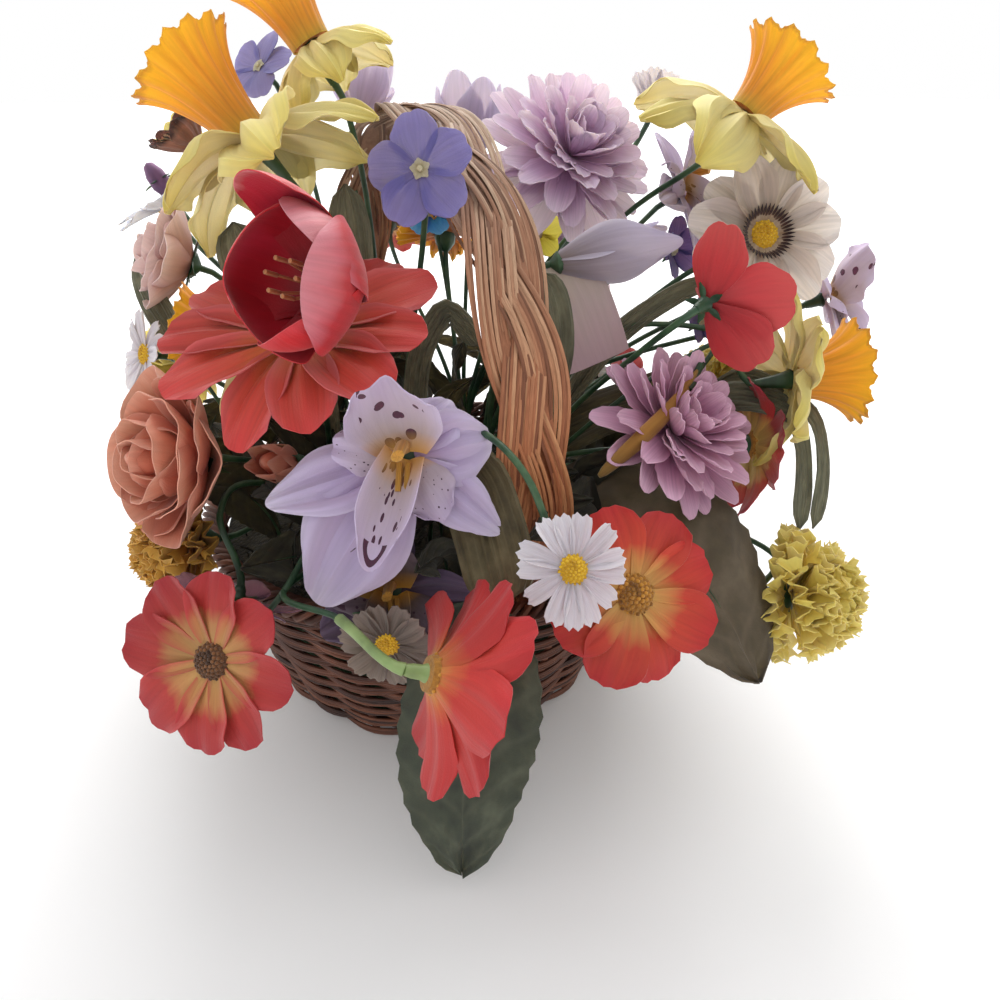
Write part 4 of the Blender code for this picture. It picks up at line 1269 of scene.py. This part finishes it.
def orchid(tepals, grow, seed, depth, lip=1.0):
    draw = random.Random(seed)
    flower = new_piece()
    for turn, length, width, opens, curls, twist in tepals:
        petal(
            flower, turn, length * grow, width * grow, opens, curls, cup=0.26, outline=(0.28, 0.52, 0.42),
            tip=0.20, ridges=3, ridge=0.060, ruffle=0.10, waves=1, twist=twist, start=0.003, grid=(16, 16),
            tone=draw.random(),
        )
    petal(
        flower, 98, 0.037 * grow, 0.035 * grow, 26, 34, cup=0.42, outline=(0.5, 0.5, 0.74), tip=0.24,
        ruffle=0.14, waves=2, start=0.002, rise=0.003, grid=(14, 12), kind=4, tone=0.3,
    )
    petal(
        flower, 254, 0.044 * grow * lip, 0.020 * grow, 32, -28, cup=1.0, outline=(0.75, 0.5, 0.60), tip=0.34,
        ruffle=0.04, waves=2, start=0.001, rise=0.003, grid=(16, 16), kind=1, tone=0.7,
    )
    for turn, lobe_tone in ((304, 0.2), (172, 0.9)):
        petal(
            flower, turn, 0.026 * grow, 0.022 * grow, 34, -50, cup=-0.5, outline=(0.4, 0.6, 0.7), tip=0.28,
            ruffle=0.2, waves=2, start=0.002, rise=0.003, grid=(14, 12), kind=5, tone=lobe_tone,
        )
    bend = [Vector((0, 0.003, 0.002)), Vector((0, 0.005, 0.011)), Vector((0, 0.002, 0.019))]
    tube(flower, [point * grow for point in bend], 0.0028 * grow, 0.0020 * grow, 8, kind=3)
    for side in (-1, 1):
        foot = Vector((side * 0.0016, -0.002, 0.006)) * grow
        tube(flower, [foot, foot + Vector((0, -0.010, 0.004)) * grow], 0.0012 * grow, sides=6, kind=3)
    calyx(flower, depth, 0.0040, 2)
    return flower


orchid_silk = silk(
    "orchid_lilac_silk",
    [(0.0, 176, 140, 178), (0.3, 192, 168, 208), (0.8, 210, 192, 224), (1.0, 222, 208, 232)], veins=0.12,
    glow=0.2, edge=dye(212, 200, 226),
)
# Darker copies of the lilac and spotted cloths for the low orchid: painted shade.
orchid_painted_shade = silk(
    "orchid_painted_shade_silk", [(0.0, 78, 56, 76), (0.5, 86, 68, 96), (1.0, 104, 84, 112)], veins=0.2, glow=0.05,
)
SPOTTED = [(0.0, 190, 164, 136), (0.4, 186, 168, 178), (1.0, 200, 182, 214)]
SPOTTED_EDGE = dye(208, 192, 226)
SHADED_SPOTTED = [(0.0, 120, 90, 50), (0.4, 96, 78, 84), (1.0, 100, 82, 100)]
shaded_lip_silk = silk(
    "orchid_painted_shade_lip_silk", SHADED_SPOTTED, veins=0.2, glow=0.05, marks=maroon_spots((8, 9), 0.50, True)
)
lip_silk = silk(
    "orchid_lip_silk", SPOTTED, veins=0.08, glow=0.1, edge=SPOTTED_EDGE,
    marks=maroon_spots((10, 7), 0.64, True)
)
hood_silk = silk(
    "orchid_hood_silk", SPOTTED, veins=0.08, glow=0.1, edge=SPOTTED_EDGE,
    marks=maroon_spots((5, 5), 0.72, False)
)
lobe_silk = silk(
    "orchid_lobe_silk", SPOTTED[1:], veins=0.08, glow=0.1, marks=maroon_spots((15, 12), 0.36, False)
)
column_gold = silk("orchid_column", [(0.0, 190, 130, 40), (1.0, 206, 150, 60)], veins=0.3)
LILAC_FINISHES = [orchid_silk, lip_silk, stem_green, column_gold, hood_silk, lobe_silk]
SHADED_FINISHES = [orchid_painted_shade, shaded_lip_silk, stem_green, column_gold, shaded_lip_silk, shaded_lip_silk]
# Each head: its tepals, how large it is, its seed, its finishes, its turn and how long its lip is
ORCHIDS = {
    "orchid_front": (TEPALS, 1.0, 81, LILAC_FINISHES, 0, 1.0),
    "orchid_low": (EVEN_TEPALS, 0.95, 82, SHADED_FINISHES, 10, 0.55),
    "orchid_upper": (EVEN_TEPALS, 0.95, 83, LILAC_FINISHES, -20, 1.0),
    "orchid_right": (EVEN_TEPALS, 0.86, 84, LILAC_FINISHES, 30, 0.8),
}
for name, (tepals, grow, seed, finishes, roll, lip) in ORCHIDS.items():
    flower = orchid(tepals, grow, seed, HEADS[name].depth, lip)
    set_head(name, flower, finishes, "orchid_lilac", roll)

# ---------------------------------------------------------------- Chrysanthemums
# Rows of narrow incurved silk petals. Each row is cut as one star and threaded on the stem, the
# longest behind, and a green cup with six sepals closes the back.


def mum(radius, rows, count, opens, step, seed, depth):
    draw = random.Random(seed)
    flower = new_piece()
    for row in range(rows):
        in_row = count - 2 * row
        length = radius * (1 - 0.10 * row)
        for i in range(in_row):
            petal(
                flower, 360 * (i + 0.5 * (row % 2)) / in_row + draw.uniform(-7, 7),
                length * draw.uniform(0.9, 1.06), 0.34 * radius * draw.uniform(0.9, 1.1) * (1 - 0.06 * row),
                opens + step * row + draw.uniform(-8, 8), 16 + draw.uniform(-15, 15), cup=0.34,
                outline=(0.34, 0.66, 0.84), tip=0.24, ridges=1, ridge=0.04, ruffle=0.08,
                twist=draw.uniform(-14, 14), start=0.002, rise=0.0012 * row, grid=(6, 7), tone=draw.random(),
                thick=0.00035,
            )
    calyx(flower, depth, 0.0070, 1, sepals=6)
    return flower


mum_pink_silk = silk(
    "mum_pink_silk", [(0.0, 178, 116, 158), (0.35, 222, 172, 210), (1.0, 242, 212, 236)], veins=0.16,
    glow=0.4,
)
mum_mauve_silk = silk(
    "mum_mauve_silk", [(0.0, 144, 72, 108), (0.4, 204, 134, 172), (1.0, 230, 180, 206)], veins=0.18,
    glow=0.15,
)
# Each head: its radius, rows, petals in its back row, opening, how much more each row opens, seed and
# cloth
MUMS = {
    "mum_pink": (0.047, 6, 17, -16, 17, 91, mum_pink_silk),
    "mum_mauve": (0.042, 5, 17, -6, 17, 92, mum_mauve_silk),
    "mum_back": (0.038, 5, 15, -8, 18, 93, mum_pink_silk),
}
for name, (*shape, cloth) in MUMS.items():
    set_head(name, mum(*shape, HEADS[name].depth), [cloth, stem_green], "mum_pink")

# ---------------------------------------------------------------- Carnations and marigold
# Strips of silk with pinked edges, gathered into ruffles and packed into a ball that bursts out of a
# green plastic cup.


def carnation(radius, seed, depth, layers=5, count=9):
    draw = random.Random(seed)
    flower = new_piece()
    for layer in range(layers):
        in_layer = max(4, count - layer)
        for i in range(in_layer):
            petal(
                flower, 360 * (i + 0.4 * layer) / in_layer + draw.uniform(-14, 14),
                radius * draw.uniform(1.0, 1.2) * (1 - 0.05 * layer),
                0.95 * radius * draw.uniform(0.85, 1.15), -4 + 20 * layer + draw.uniform(-10, 10),
                22 + draw.uniform(-20, 20), cup=0.15, outline=(0.2, 0.9, 0.95), tip=0.16, fray=0.06,
                ruffle=0.30, waves=3, twist=draw.uniform(-16, 16), start=0.001,
                rise=-0.30 * radius + 0.05 * radius * layer, grid=(26, 6), tone=draw.random(),
            )
    profile = [
        (0, -depth - 0.001), (0.0022, -depth), (0.0060, -0.75 * depth), (0.0072, -0.4 * depth),
        (0, -0.3 * depth)
    ]
    turned(flower, profile, 12, 1)
    return flower


carnation_silk = silk(
    "carnation_silk", [(0.0, 178, 144, 26), (0.4, 228, 192, 54), (1.0, 244, 218, 96)], veins=0.14, glow=0.35,
)
golden_silk = silk(
    "golden_carnation_silk", [(0.0, 110, 66, 18), (0.4, 190, 132, 40), (1.0, 226, 172, 66)], veins=0.16,
    glow=0.12,
)
marigold_silk = silk(
    "marigold_silk", [(0.0, 170, 80, 10), (0.4, 230, 118, 14), (1.0, 250, 164, 20)], veins=0.16, glow=0.2,
)
# Each head: its radius, seed, cloth and slot
CARNATIONS = {
    "carnation_right": (0.029, 101, carnation_silk, "carnation_yellow"),
    "carnation_left": (0.025, 102, golden_silk, "carnation_yellow"),
    "carnation_back": (0.029, 103, carnation_silk, "carnation_yellow"),
    "marigold_back": (0.026, 104, marigold_silk, "marigold_orange"),
}
for name, (radius, seed, cloth, slot) in CARNATIONS.items():
    set_head(name, carnation(radius, seed, HEADS[name].depth), [cloth, stem_green], slot)

# ---------------------------------------------------------------- Roses and rosebud
# Peach silk petals wrapped round a tight heart, each row a little more open, the outer ones rolled
# back. A green cup with five sepals holds them, and the bud is a small one that is still closed.

ROSE_ROWS = 4


def rose(radius, seed, depth):
    draw = random.Random(seed)
    flower = new_piece()
    for row in range(ROSE_ROWS):
        in_row = 3 + row
        for i in range(in_row):
            petal(
                flower, 360 * (i + 0.37 * row) / in_row + draw.uniform(-8, 8),
                radius * (1.15 + 0.06 * row) * draw.uniform(0.95, 1.05), radius * (1.0 + 0.24 * row),
                62 - 16 * row + draw.uniform(-4, 4), 40 - 5 * row, cup=0.50, outline=(0.5, 0.62, 0.74),
                tip=0.22, ruffle=0.05, waves=2, start=0.0010 + 0.0012 * row,
                rise=-0.60 * radius - 0.0008 * row, grid=(14, 12), tone=draw.random(),
            )
    profile = [
        (0, -0.5 * radius), (0.30 * radius, -0.2 * radius), (0.24 * radius, 0.25 * radius),
        (0.08 * radius, 0.45 * radius), (0, 0.46 * radius)
    ]
    turned(flower, profile, 14, 0, 0.3, lambda turn, t, r, z: (r * (1 + 0.14 * sin(3 * turn + 6 * t)), z))
    cup = [
        (0, -depth - 0.001), (0.0022, -depth), (0.0065, -0.86 * depth), (0.0075, -0.76 * depth),
        (0, -0.7 * depth)
    ]
    turned(flower, cup, 12, 1)
    for i in range(5):
        petal(
            flower, 72 * i, 0.018, 0.007, 10, -30, start=0.005, rise=-0.84 * depth, outline=(0.8, 0.2, 0.1),
            grid=(4, 7), kind=1
        )
    return flower


peach_silk = silk(
    "rose_peach_silk", [(0.0, 146, 62, 42), (0.35, 204, 104, 76), (0.8, 222, 128, 98), (1.0, 232, 156, 130)],
    veins=0.10, glow=0.15, edge=dye(226, 162, 138),
)
pink_rose_silk = silk(
    "rose_pink_silk", [(0.0, 176, 96, 82), (0.4, 206, 140, 126), (1.0, 232, 196, 192)], veins=0.10, glow=0.3,
)
# Each head: its radius, seed and cloth
ROSES = {
    "rose_left": (0.0285, 111, peach_silk),
    "rose_upper_left": (0.0215, 112, pink_rose_silk),
    "rose_back": (0.030, 113, peach_silk),
}
for name, (radius, seed, cloth) in ROSES.items():
    set_head(name, rose(radius, seed, HEADS[name].depth), [cloth, stem_green], "rose_peach")

bud = new_piece()
bud_depth = HEADS["rosebud"].depth
for i in range(5):
    petal(
        bud, 72 * i, 0.030, 0.018, 58, 46, cup=0.5, outline=(0.4, 0.5, 0.3), start=0.002, rise=-0.012,
        grid=(8, 10), tone=0.2 * i
    )
bud_heart = [(0, -0.012), (0.005, -0.008), (0.0065, 0.002), (0.003, 0.011), (0, 0.013)]
turned(bud, bud_heart, 12, 0)
bud_cup = [(0, -bud_depth - 0.001), (0.0020, -bud_depth), (0.0052, -0.014), (0.0055, -0.010), (0, -0.009)]
turned(bud, bud_cup, 12, 1)
for i in range(5):
    petal(
        bud, 72 * i + 30, 0.018, 0.006, 60, 20, start=0.004, rise=-0.012, outline=(0.8, 0.2, 0.1),
        grid=(4, 6), kind=1
    )
set_head("rosebud", bud, [peach_silk, stem_green], "rose_peach")

# ---------------------------------------------------------------- Leaves
# Printed polyester leaves on wired stalks: dull olive cloth with a pressed midrib, side veins and
# the creases of handling. The broad ones hang over the rim.

# Each leaf: its spine as (bearing, reach, height) from the foam to the tip, the share of it that is bare
# stalk, half the blade's width, the way its face looks (bearing, tilt), its pressed ribs and its fold
Leaf = namedtuple("Leaf", "spine stalk half_width faces tilt ribs fold")
LEAVES = {
    "leaf_hanging": Leaf(
        (
            (-10, 0.085, 0.070), (-10, 0.118, 0.118), (-14, 0.158, 0.102), (-17, 0.178, 0.060),
            (-18, 0.190, 0.010)
        ),
        0.375, 0.029, -20, 20, 0, 0.10,
    ),
    "leaf_broad_right": Leaf(
        ((24, 0.085, 0.070), (22, 0.115, 0.120), (21, 0.150, 0.136), (21, 0.186, 0.116), (20, 0.213, 0.087)),
        0.225, 0.041, 5, 40, 0, 0.08,
    ),
    "leaf_ribbed": Leaf(
        (
            (-24, 0.060, 0.075), (-19, 0.088, 0.142), (-13, 0.124, 0.172), (-11, 0.146, 0.160),
            (-9.5, 0.158, 0.132)
        ),
        0.48, 0.0145, -20, 20, 9, 0.10,
    ),
    "leaf_dark": Leaf(
        ((40, 0.030, 0.075), (36, 0.062, 0.132), (38, 0.095, 0.163), (47, 0.125, 0.174), (56, 0.150, 0.178)),
        0.25, 0.012, 10, 45, 3, 0.12,
    ),
    "leaf_olive": Leaf(
        ((-2, 0.072, 0.075), (8, 0.082, 0.150), (18, 0.088, 0.188), (20, 0.088, 0.215), (16, 0.085, 0.240)),
        0.25, 0.012, 15, 20, 5, 0.2,
    ),
    "leaf_strap_left": Leaf(
        (
            (-65, 0.035, 0.075), (-60, 0.045, 0.160), (-58, 0.050, 0.210), (-58, 0.050, 0.245),
            (-60, 0.048, 0.272)
        ),
        0.20, 0.010, -30, 10, 5, 0.1,
    ),
    "leaf_back_left": Leaf(
        (
            (-160, 0.080, 0.070), (-158, 0.118, 0.125), (-155, 0.155, 0.130), (-152, 0.185, 0.100),
            (-150, 0.198, 0.065)
        ),
        0.20, 0.030, -155, 45, 0, 0.12,
    ),
    "leaf_back_right": Leaf(
        (
            (110, 0.080, 0.070), (108, 0.118, 0.130), (105, 0.155, 0.135), (103, 0.185, 0.105),
            (102, 0.198, 0.070)
        ),
        0.20, 0.030, 105, 45, 0, 0.12,
    ),
}
LEAF_STEPS = 40
LEAF_THICK = 0.0005
LEAF_STALK = 0.0011
MIDRIB_WIDE = 0.0009
MIDRIB_TALL = 0.0006
SERRATION = 0.045


def wire_path(knots, steps):
    """A wire bent smoothly through knots given as (bearing, reach, height)."""
    return smooth_path([place(*knot) for knot in knots], steps)


def leaf_blade(piece, leaf, seed):
    """A leaf on its stalk: the blade is a grid laid along the spine, folded at the midrib and creased."""
    draw = random.Random(seed)
    spine, _ = even_path(wire_path(leaf.spine, 6), LEAF_STEPS)
    face = direction(leaf.faces, leaf.tilt)
    first = round(leaf.stalk * LEAF_STEPS)
    blade = spine[first:]
    last = len(blade) - 1
    stray = draw.uniform(0, 60)

    def shape(a, t):
        i = round(t * last)
        along = (blade[min(i + 1, last)] - blade[max(i - 1, 0)]).normalized()
        normal = (face - along * face.dot(along)).normalized()
        across = along.cross(normal)
        if leaf.ribs:
            share = sqrt(min(1, 5 * t)) * sqrt(max(0, 1 - max(0, (t - 0.86) / 0.14) ** 2))
        else:
            share = sin(pi * min(1, t**0.8)) ** 0.62 * (1 + SERRATION * (i % 2 - 0.5)) if t < 1 else 0
        half = max(0.0004, leaf.half_width * share)
        crease = noise.noise(Vector((a * 1.6 + stray, t * 3.2, stray))) * 0.16
        crease += noise.noise(Vector((a * 5, t * 9, stray))) * 0.05
        lift = leaf.fold * half * abs(a) + crease * leaf.half_width * min(1, 2 * (1 - abs(a) * 0.5))
        if leaf.ribs:
            lift += 0.0006 * cos(leaf.ribs * pi * a) * min(1, half / 0.006)
        else:
            lift += 0.0004 * cos(2 * pi * (7 * t + 1.5 * abs(a))) * abs(a) - 0.0007 * max(0, 1 - 8 * abs(a))
        return blade[i] + across * a * half + normal * lift

    sheet(piece, 20 if leaf.ribs else 16, last, shape, LEAF_THICK, tone=draw.random())
    tube(piece, spine[: first + 3], LEAF_STALK, sides=6, kind=1)
    whole = (blade[-1] - blade[0]).normalized()
    normal = (face - whole * face.dot(whole)).normalized()
    back = [point - normal * 0.0008 for point in spine[first : first + int(0.8 * last)]]
    tube(piece, back, MIDRIB_WIDE, MIDRIB_TALL, 6, kind=1, taper=lambda t: 1 - 0.8 * t)


def leaf_finish(name, dark, middle, light, ribs=False):
    """Printed leaf cloth: paler midrib and side veins on mottled olive, with a visible weave."""
    cloth = Finish(name, roughness=0.78, sheen=0.1, glow=0.08)
    parts = cloth.add("SeparateXYZ", {0: cloth.coordinates("blade")})
    side = cloth.math("ABSOLUTE", cloth.math("MULTIPLY_ADD", parts.outputs["X"], 2.0, -1.0))
    mottle = cloth.noise(cloth.coordinates("blade", (2, 4, 1)), 2.0, 4.0, own=25)
    colour = cloth.ramp(mottle, [(0.3, dark), (0.52, middle), (0.75, light)])
    if ribs:
        wave = cloth.math("SINE", cloth.math("MULTIPLY", parts.outputs["X"], 62.0))
    else:
        slant = cloth.math("MULTIPLY_ADD", side, 9.0, cloth.math("MULTIPLY", parts.outputs["Y"], 44.0))
        wave = cloth.math("SINE", slant)
    vein = cloth.math("POWER", cloth.math("MULTIPLY_ADD", wave, 0.5, 0.5), 6.0)
    rib = cloth.math("POWER", cloth.math("SUBTRACT", 1.0, side), 40.0)
    lines = cloth.math("MAXIMUM", cloth.math("MULTIPLY", vein, 0.45), rib)
    colour = cloth.mix(cloth.math("MULTIPLY", lines, 0.55), colour, light)
    weave = cloth.noise(cloth.coordinates("object"), 1500.0, 2.0)
    relief = cloth.math("MULTIPLY_ADD", weave, 0.4, cloth.math("SUBTRACT", mottle, lines))
    return cloth.done(colour, relief, 0.0006, 0.6)


broad_cloth = leaf_finish("broad_leaf_cloth", dye(50, 44, 34), dye(76, 66, 52), dye(104, 92, 74))
hanging_cloth = leaf_finish("hanging_leaf_cloth", dye(38, 44, 38), dye(56, 64, 52), dye(84, 92, 74))
ribbed_cloth = leaf_finish(
    "ribbed_leaf_cloth", dye(54, 46, 28), dye(84, 74, 48), dye(112, 100, 70), ribs=True
)
strap_cloth = leaf_finish(
    "strap_leaf_cloth", dye(60, 64, 50), dye(92, 94, 74), dye(126, 126, 100), ribs=True
)
dark_cloth = leaf_finish("dark_leaf_cloth", dye(34, 32, 22), dye(54, 50, 36), dye(84, 80, 58), ribs=True)
LEAF_CLOTHS = {
    "leaf_hanging": hanging_cloth, "leaf_broad_right": broad_cloth, "leaf_ribbed": ribbed_cloth,
    "leaf_dark": dark_cloth, "leaf_olive": strap_cloth, "leaf_strap_left": strap_cloth,
    "leaf_back_left": hanging_cloth, "leaf_back_right": broad_cloth,
}
for seed, (name, leaf) in enumerate(LEAVES.items()):
    leaf_bm = new_piece()
    leaf_blade(leaf_bm, leaf, 120 + seed)
    finish_piece(name + "_cloth", leaf_bm, [LEAF_CLOTHS[name], stem_green], "leaf_fabric", name)

# ---------------------------------------------------------------- Filler foliage
# Short leafy sprigs of printed cloth on plastic stalks, pushed into the foam between the flowers.
# They hide the foam, and their near-black cloth is painted shade for the middle.

filler_bm = new_piece()
draw = random.Random(77)
FILLERS = 54
for i in range(FILLERS):
    bearing = 137.5 * i % 360
    reach = 0.022 + 0.085 * sqrt(i / FILLERS)
    rise = draw.uniform(0.050, 0.085) * (1.15 - 0.4 * reach / 0.107)
    spread = 0.012 + 0.30 * reach
    spine = (
        (bearing, reach, 0.088),
        (bearing + draw.uniform(-8, 8), reach + 0.15 * spread, 0.098 + 0.4 * rise),
        (bearing + draw.uniform(-14, 14), reach + 0.55 * spread, 0.098 + 0.8 * rise),
        (bearing + draw.uniform(-20, 20), reach + 1.1 * spread, 0.098 + rise),
    )
    half_width = draw.uniform(0.008, 0.013)
    faces = bearing + draw.uniform(-40, 40)
    leaf_blade(filler_bm, Leaf(spine, 0.25, half_width, faces, draw.uniform(10, 50), 0, 0.2), 200 + i)
# The sprigs' cloth is dyed near black: painted shade for the middle of the arrangement.
filler_shade_cloth = leaf_finish("filler_painted_shade_cloth", dye(22, 22, 16), dye(38, 38, 26), dye(62, 60, 42))
finish_piece("filler_foliage", filler_bm, [filler_shade_cloth, stem_green], "leaf_fabric")

# Loose extras, tucked in among the flowers: lance leaves at the right, a pale leaf at the left and an
# ochre spathe on its green stalk
LOOSE_LEAVES = (
    (
        ((30, 0.070, 0.095), (45, 0.140, 0.170), (45, 0.183, 0.178), (43, 0.196, 0.160), (36, 0.203, 0.132)),
        0.5, 0.0075, 20, 20
    ),
    (
        ((32, 0.070, 0.095), (50, 0.150, 0.176), (48, 0.192, 0.176), (45, 0.206, 0.156), (39, 0.209, 0.128)),
        0.5, 0.0080, 25, 20
    ),
    (
        (
            (-100, 0.080, 0.095), (-103, 0.118, 0.180), (-107, 0.130, 0.204), (-112, 0.140, 0.219),
            (-117, 0.147, 0.234)
        ),
        0.55, 0.0100, -60, 20
    ),
    (
        ((20, 0.050, 0.095), (50, 0.090, 0.185), (58, 0.125, 0.216), (62, 0.150, 0.222), (65, 0.175, 0.216)),
        0.35, 0.0060, 20, 60
    ),
    (
        (
            (-30, 0.050, 0.095), (-24, 0.066, 0.190), (-14, 0.070, 0.222), (-8, 0.068, 0.222),
            (2, 0.066, 0.206)
        ),
        0.45, 0.0055, -20, 40
    ),
    (
        (
            (-75, 0.050, 0.095), (-80, 0.070, 0.180), (-84, 0.078, 0.214), (-88, 0.084, 0.236),
            (-90, 0.088, 0.256)
        ),
        0.30, 0.0130, -30, 10
    ),
)
loose_bm = new_piece()
for seed, (spine, stalk, half_width, bearing, tilt) in enumerate(LOOSE_LEAVES):
    leaf_blade(loose_bm, Leaf(spine, stalk, half_width, bearing, tilt, 5, 0.15), 300 + seed)
finish_piece("loose_leaves", loose_bm, [strap_cloth, stem_green], "leaf_fabric")

ochre = silk(
    "ochre_spathe_silk", [(0.0, 120, 96, 40), (0.3, 160, 112, 40), (1.0, 186, 136, 60)], veins=0.25,
    vein_count=8
)
SPATHE = ((12, 0.136, 0.165), (20, 0.140, 0.177), (28, 0.144, 0.188), (36, 0.147, 0.199))
SPATHE_STALK = ((14, 0.052, 0.104), (30, 0.110, 0.176), (44, 0.148, 0.205), (35.5, 0.147, 0.198))
SPATHE_CUP = ((37, 0.147, 0.201), (35, 0.1465, 0.196), (32, 0.146, 0.192))
spathe_bm = new_piece()
spathe_path, _ = even_path(wire_path(SPATHE, 8), 24)
tube(
    spathe_bm, spathe_path, 0.0042, 0.0030, 12, sideways=Vector((0, 0, 1)),
    taper=lambda t: 0.25 + 0.75 * sin(pi * t**0.8) ** 0.7,
)
tube(spathe_bm, wire_path(SPATHE_STALK, 8), 0.0012, sides=6, kind=1)
tube(spathe_bm, wire_path(SPATHE_CUP, 4), 0.0032, 0.0026, 10, kind=1, taper=lambda t: 0.5 + 0.5 * t)
finish_piece("ochre_spathe", spathe_bm, [ochre, stem_green], "leaf_fabric")

# ---------------------------------------------------------------- Tucked-in blooms
# Small flowers cut from other bushes, pushed in between the large ones to fill the gaps, each on
# its own wired branch.

sea_blue = silk(
    "tucked_blue_silk", [(0.0, 20, 70, 150), (0.5, 16, 92, 186), (1.0, 40, 120, 206)], veins=0.15, glow=0.3
)
sun_yellow = silk("tucked_yellow_silk", [(0.0, 206, 186, 20), (1.0, 232, 224, 40)], veins=0.12, glow=0.35)
ice_blue = silk("tucked_ice_silk", [(0.0, 186, 186, 204), (1.0, 222, 228, 240)], veins=0.12, glow=0.4)
plum = silk("tucked_plum_silk", [(0.0, 96, 60, 96), (1.0, 146, 106, 150)], veins=0.5, vein_count=5)
plum_bud = new_piece()
plum_egg = [(0, -0.009), (0.003, -0.008), (0.0052, -0.003), (0.0050, 0.003), (0.0028, 0.008), (0, 0.0095)]
turned(plum_bud, plum_egg, 14, 0)
calyx(plum_bud, 0.010, 0.0034, 2, sepals=5)
# Each one: the flower, its cloths and slot, its spray, where it is (bearing, reach, height), the way it
# faces (bearing, tilt) and how deep its calyx is
TUCKED = {
    "tucked_violet": (
        five_petals(0.0125, 0.0115, 24, -10, 201, 0.005), [violet_silk, cream_eye, stem_green],
        "violet_dark", "spray_right", (62, 0.144, 0.204), (10, 10), 0.005,
    ),
    "tucked_red": (
        five_petals(0.0150, 0.0160, 26, -20, 202, 0.005), [anemone_silk, cream_eye, stem_green],
        "crimson", "spray_right", (76, 0.113, 0.166), (20, 30), 0.005,
    ),
    "tucked_blue": (
        five_petals(0.0150, 0.0150, 20, -14, 203, 0.005), [sea_blue, cream_eye, stem_green],
        "periwinkle_blue", "spray_back_right", (157, 0.089, 0.242), (-30, 20), 0.005,
    ),
    "tucked_yellow": (
        five_petals(0.0150, 0.0150, 30, -14, 204, 0.005), [sun_yellow, cream_eye, stem_green],
        "carnation_yellow", "spray_back_right", (110, 0.086, 0.234), (-10, 20), 0.005,
    ),
    "tucked_ice": (
        ray_flower(7, 0.026, 0.016, 20, -18, 205, 0.006, middle=0.005, cup_radius=0.004),
        [ice_blue, yellow_button, stem_green],
        "daisy_white", "spray_top_left", (-131, 0.148, 0.251), (-100, 60), 0.006,
    ),
    "tucked_lilac": (
        tulip(0.036, 0.026, 30, 60, 206, 0.016), [lilac_tulip, stem_green, anther, lilac_tulip],
        "tulip_pale", "spray_back_left", (176, 0.118, 0.304), (150, 50), 0.016,
    ),
    "tucked_carnation": (
        carnation(0.021, 207, 0.016, 4, 8), [carnation_silk, stem_green],
        "carnation_yellow", "spray_right", (60, 0.160, 0.172), (30, 40), 0.016,
    ),
    "tucked_bud": (
        plum_bud, [plum, stem_green, stem_green],
        "violet_dark", "spray_top_left", (-128, 0.143, 0.266), (-120, 60), 0.010,
    ),
}
tucked_stems = new_piece()
for name, (flower, finishes, slot, spray, at, faces, depth) in TUCKED.items():
    start = place(*SPRAYS[spray][:2], TRUNK_TOP - 2 * TRUNK_RADIUS)
    path = stem_path(start, place(*at), direction(*faces), depth)
    tube(tucked_stems, path, STEM_RADIUS, sides=8, taper=swell)
    set_head(name, flower, finishes, slot, 0, faces, place(*at))
finish_piece("tucked_stems", tucked_stems, [stem_green], "stem_green")
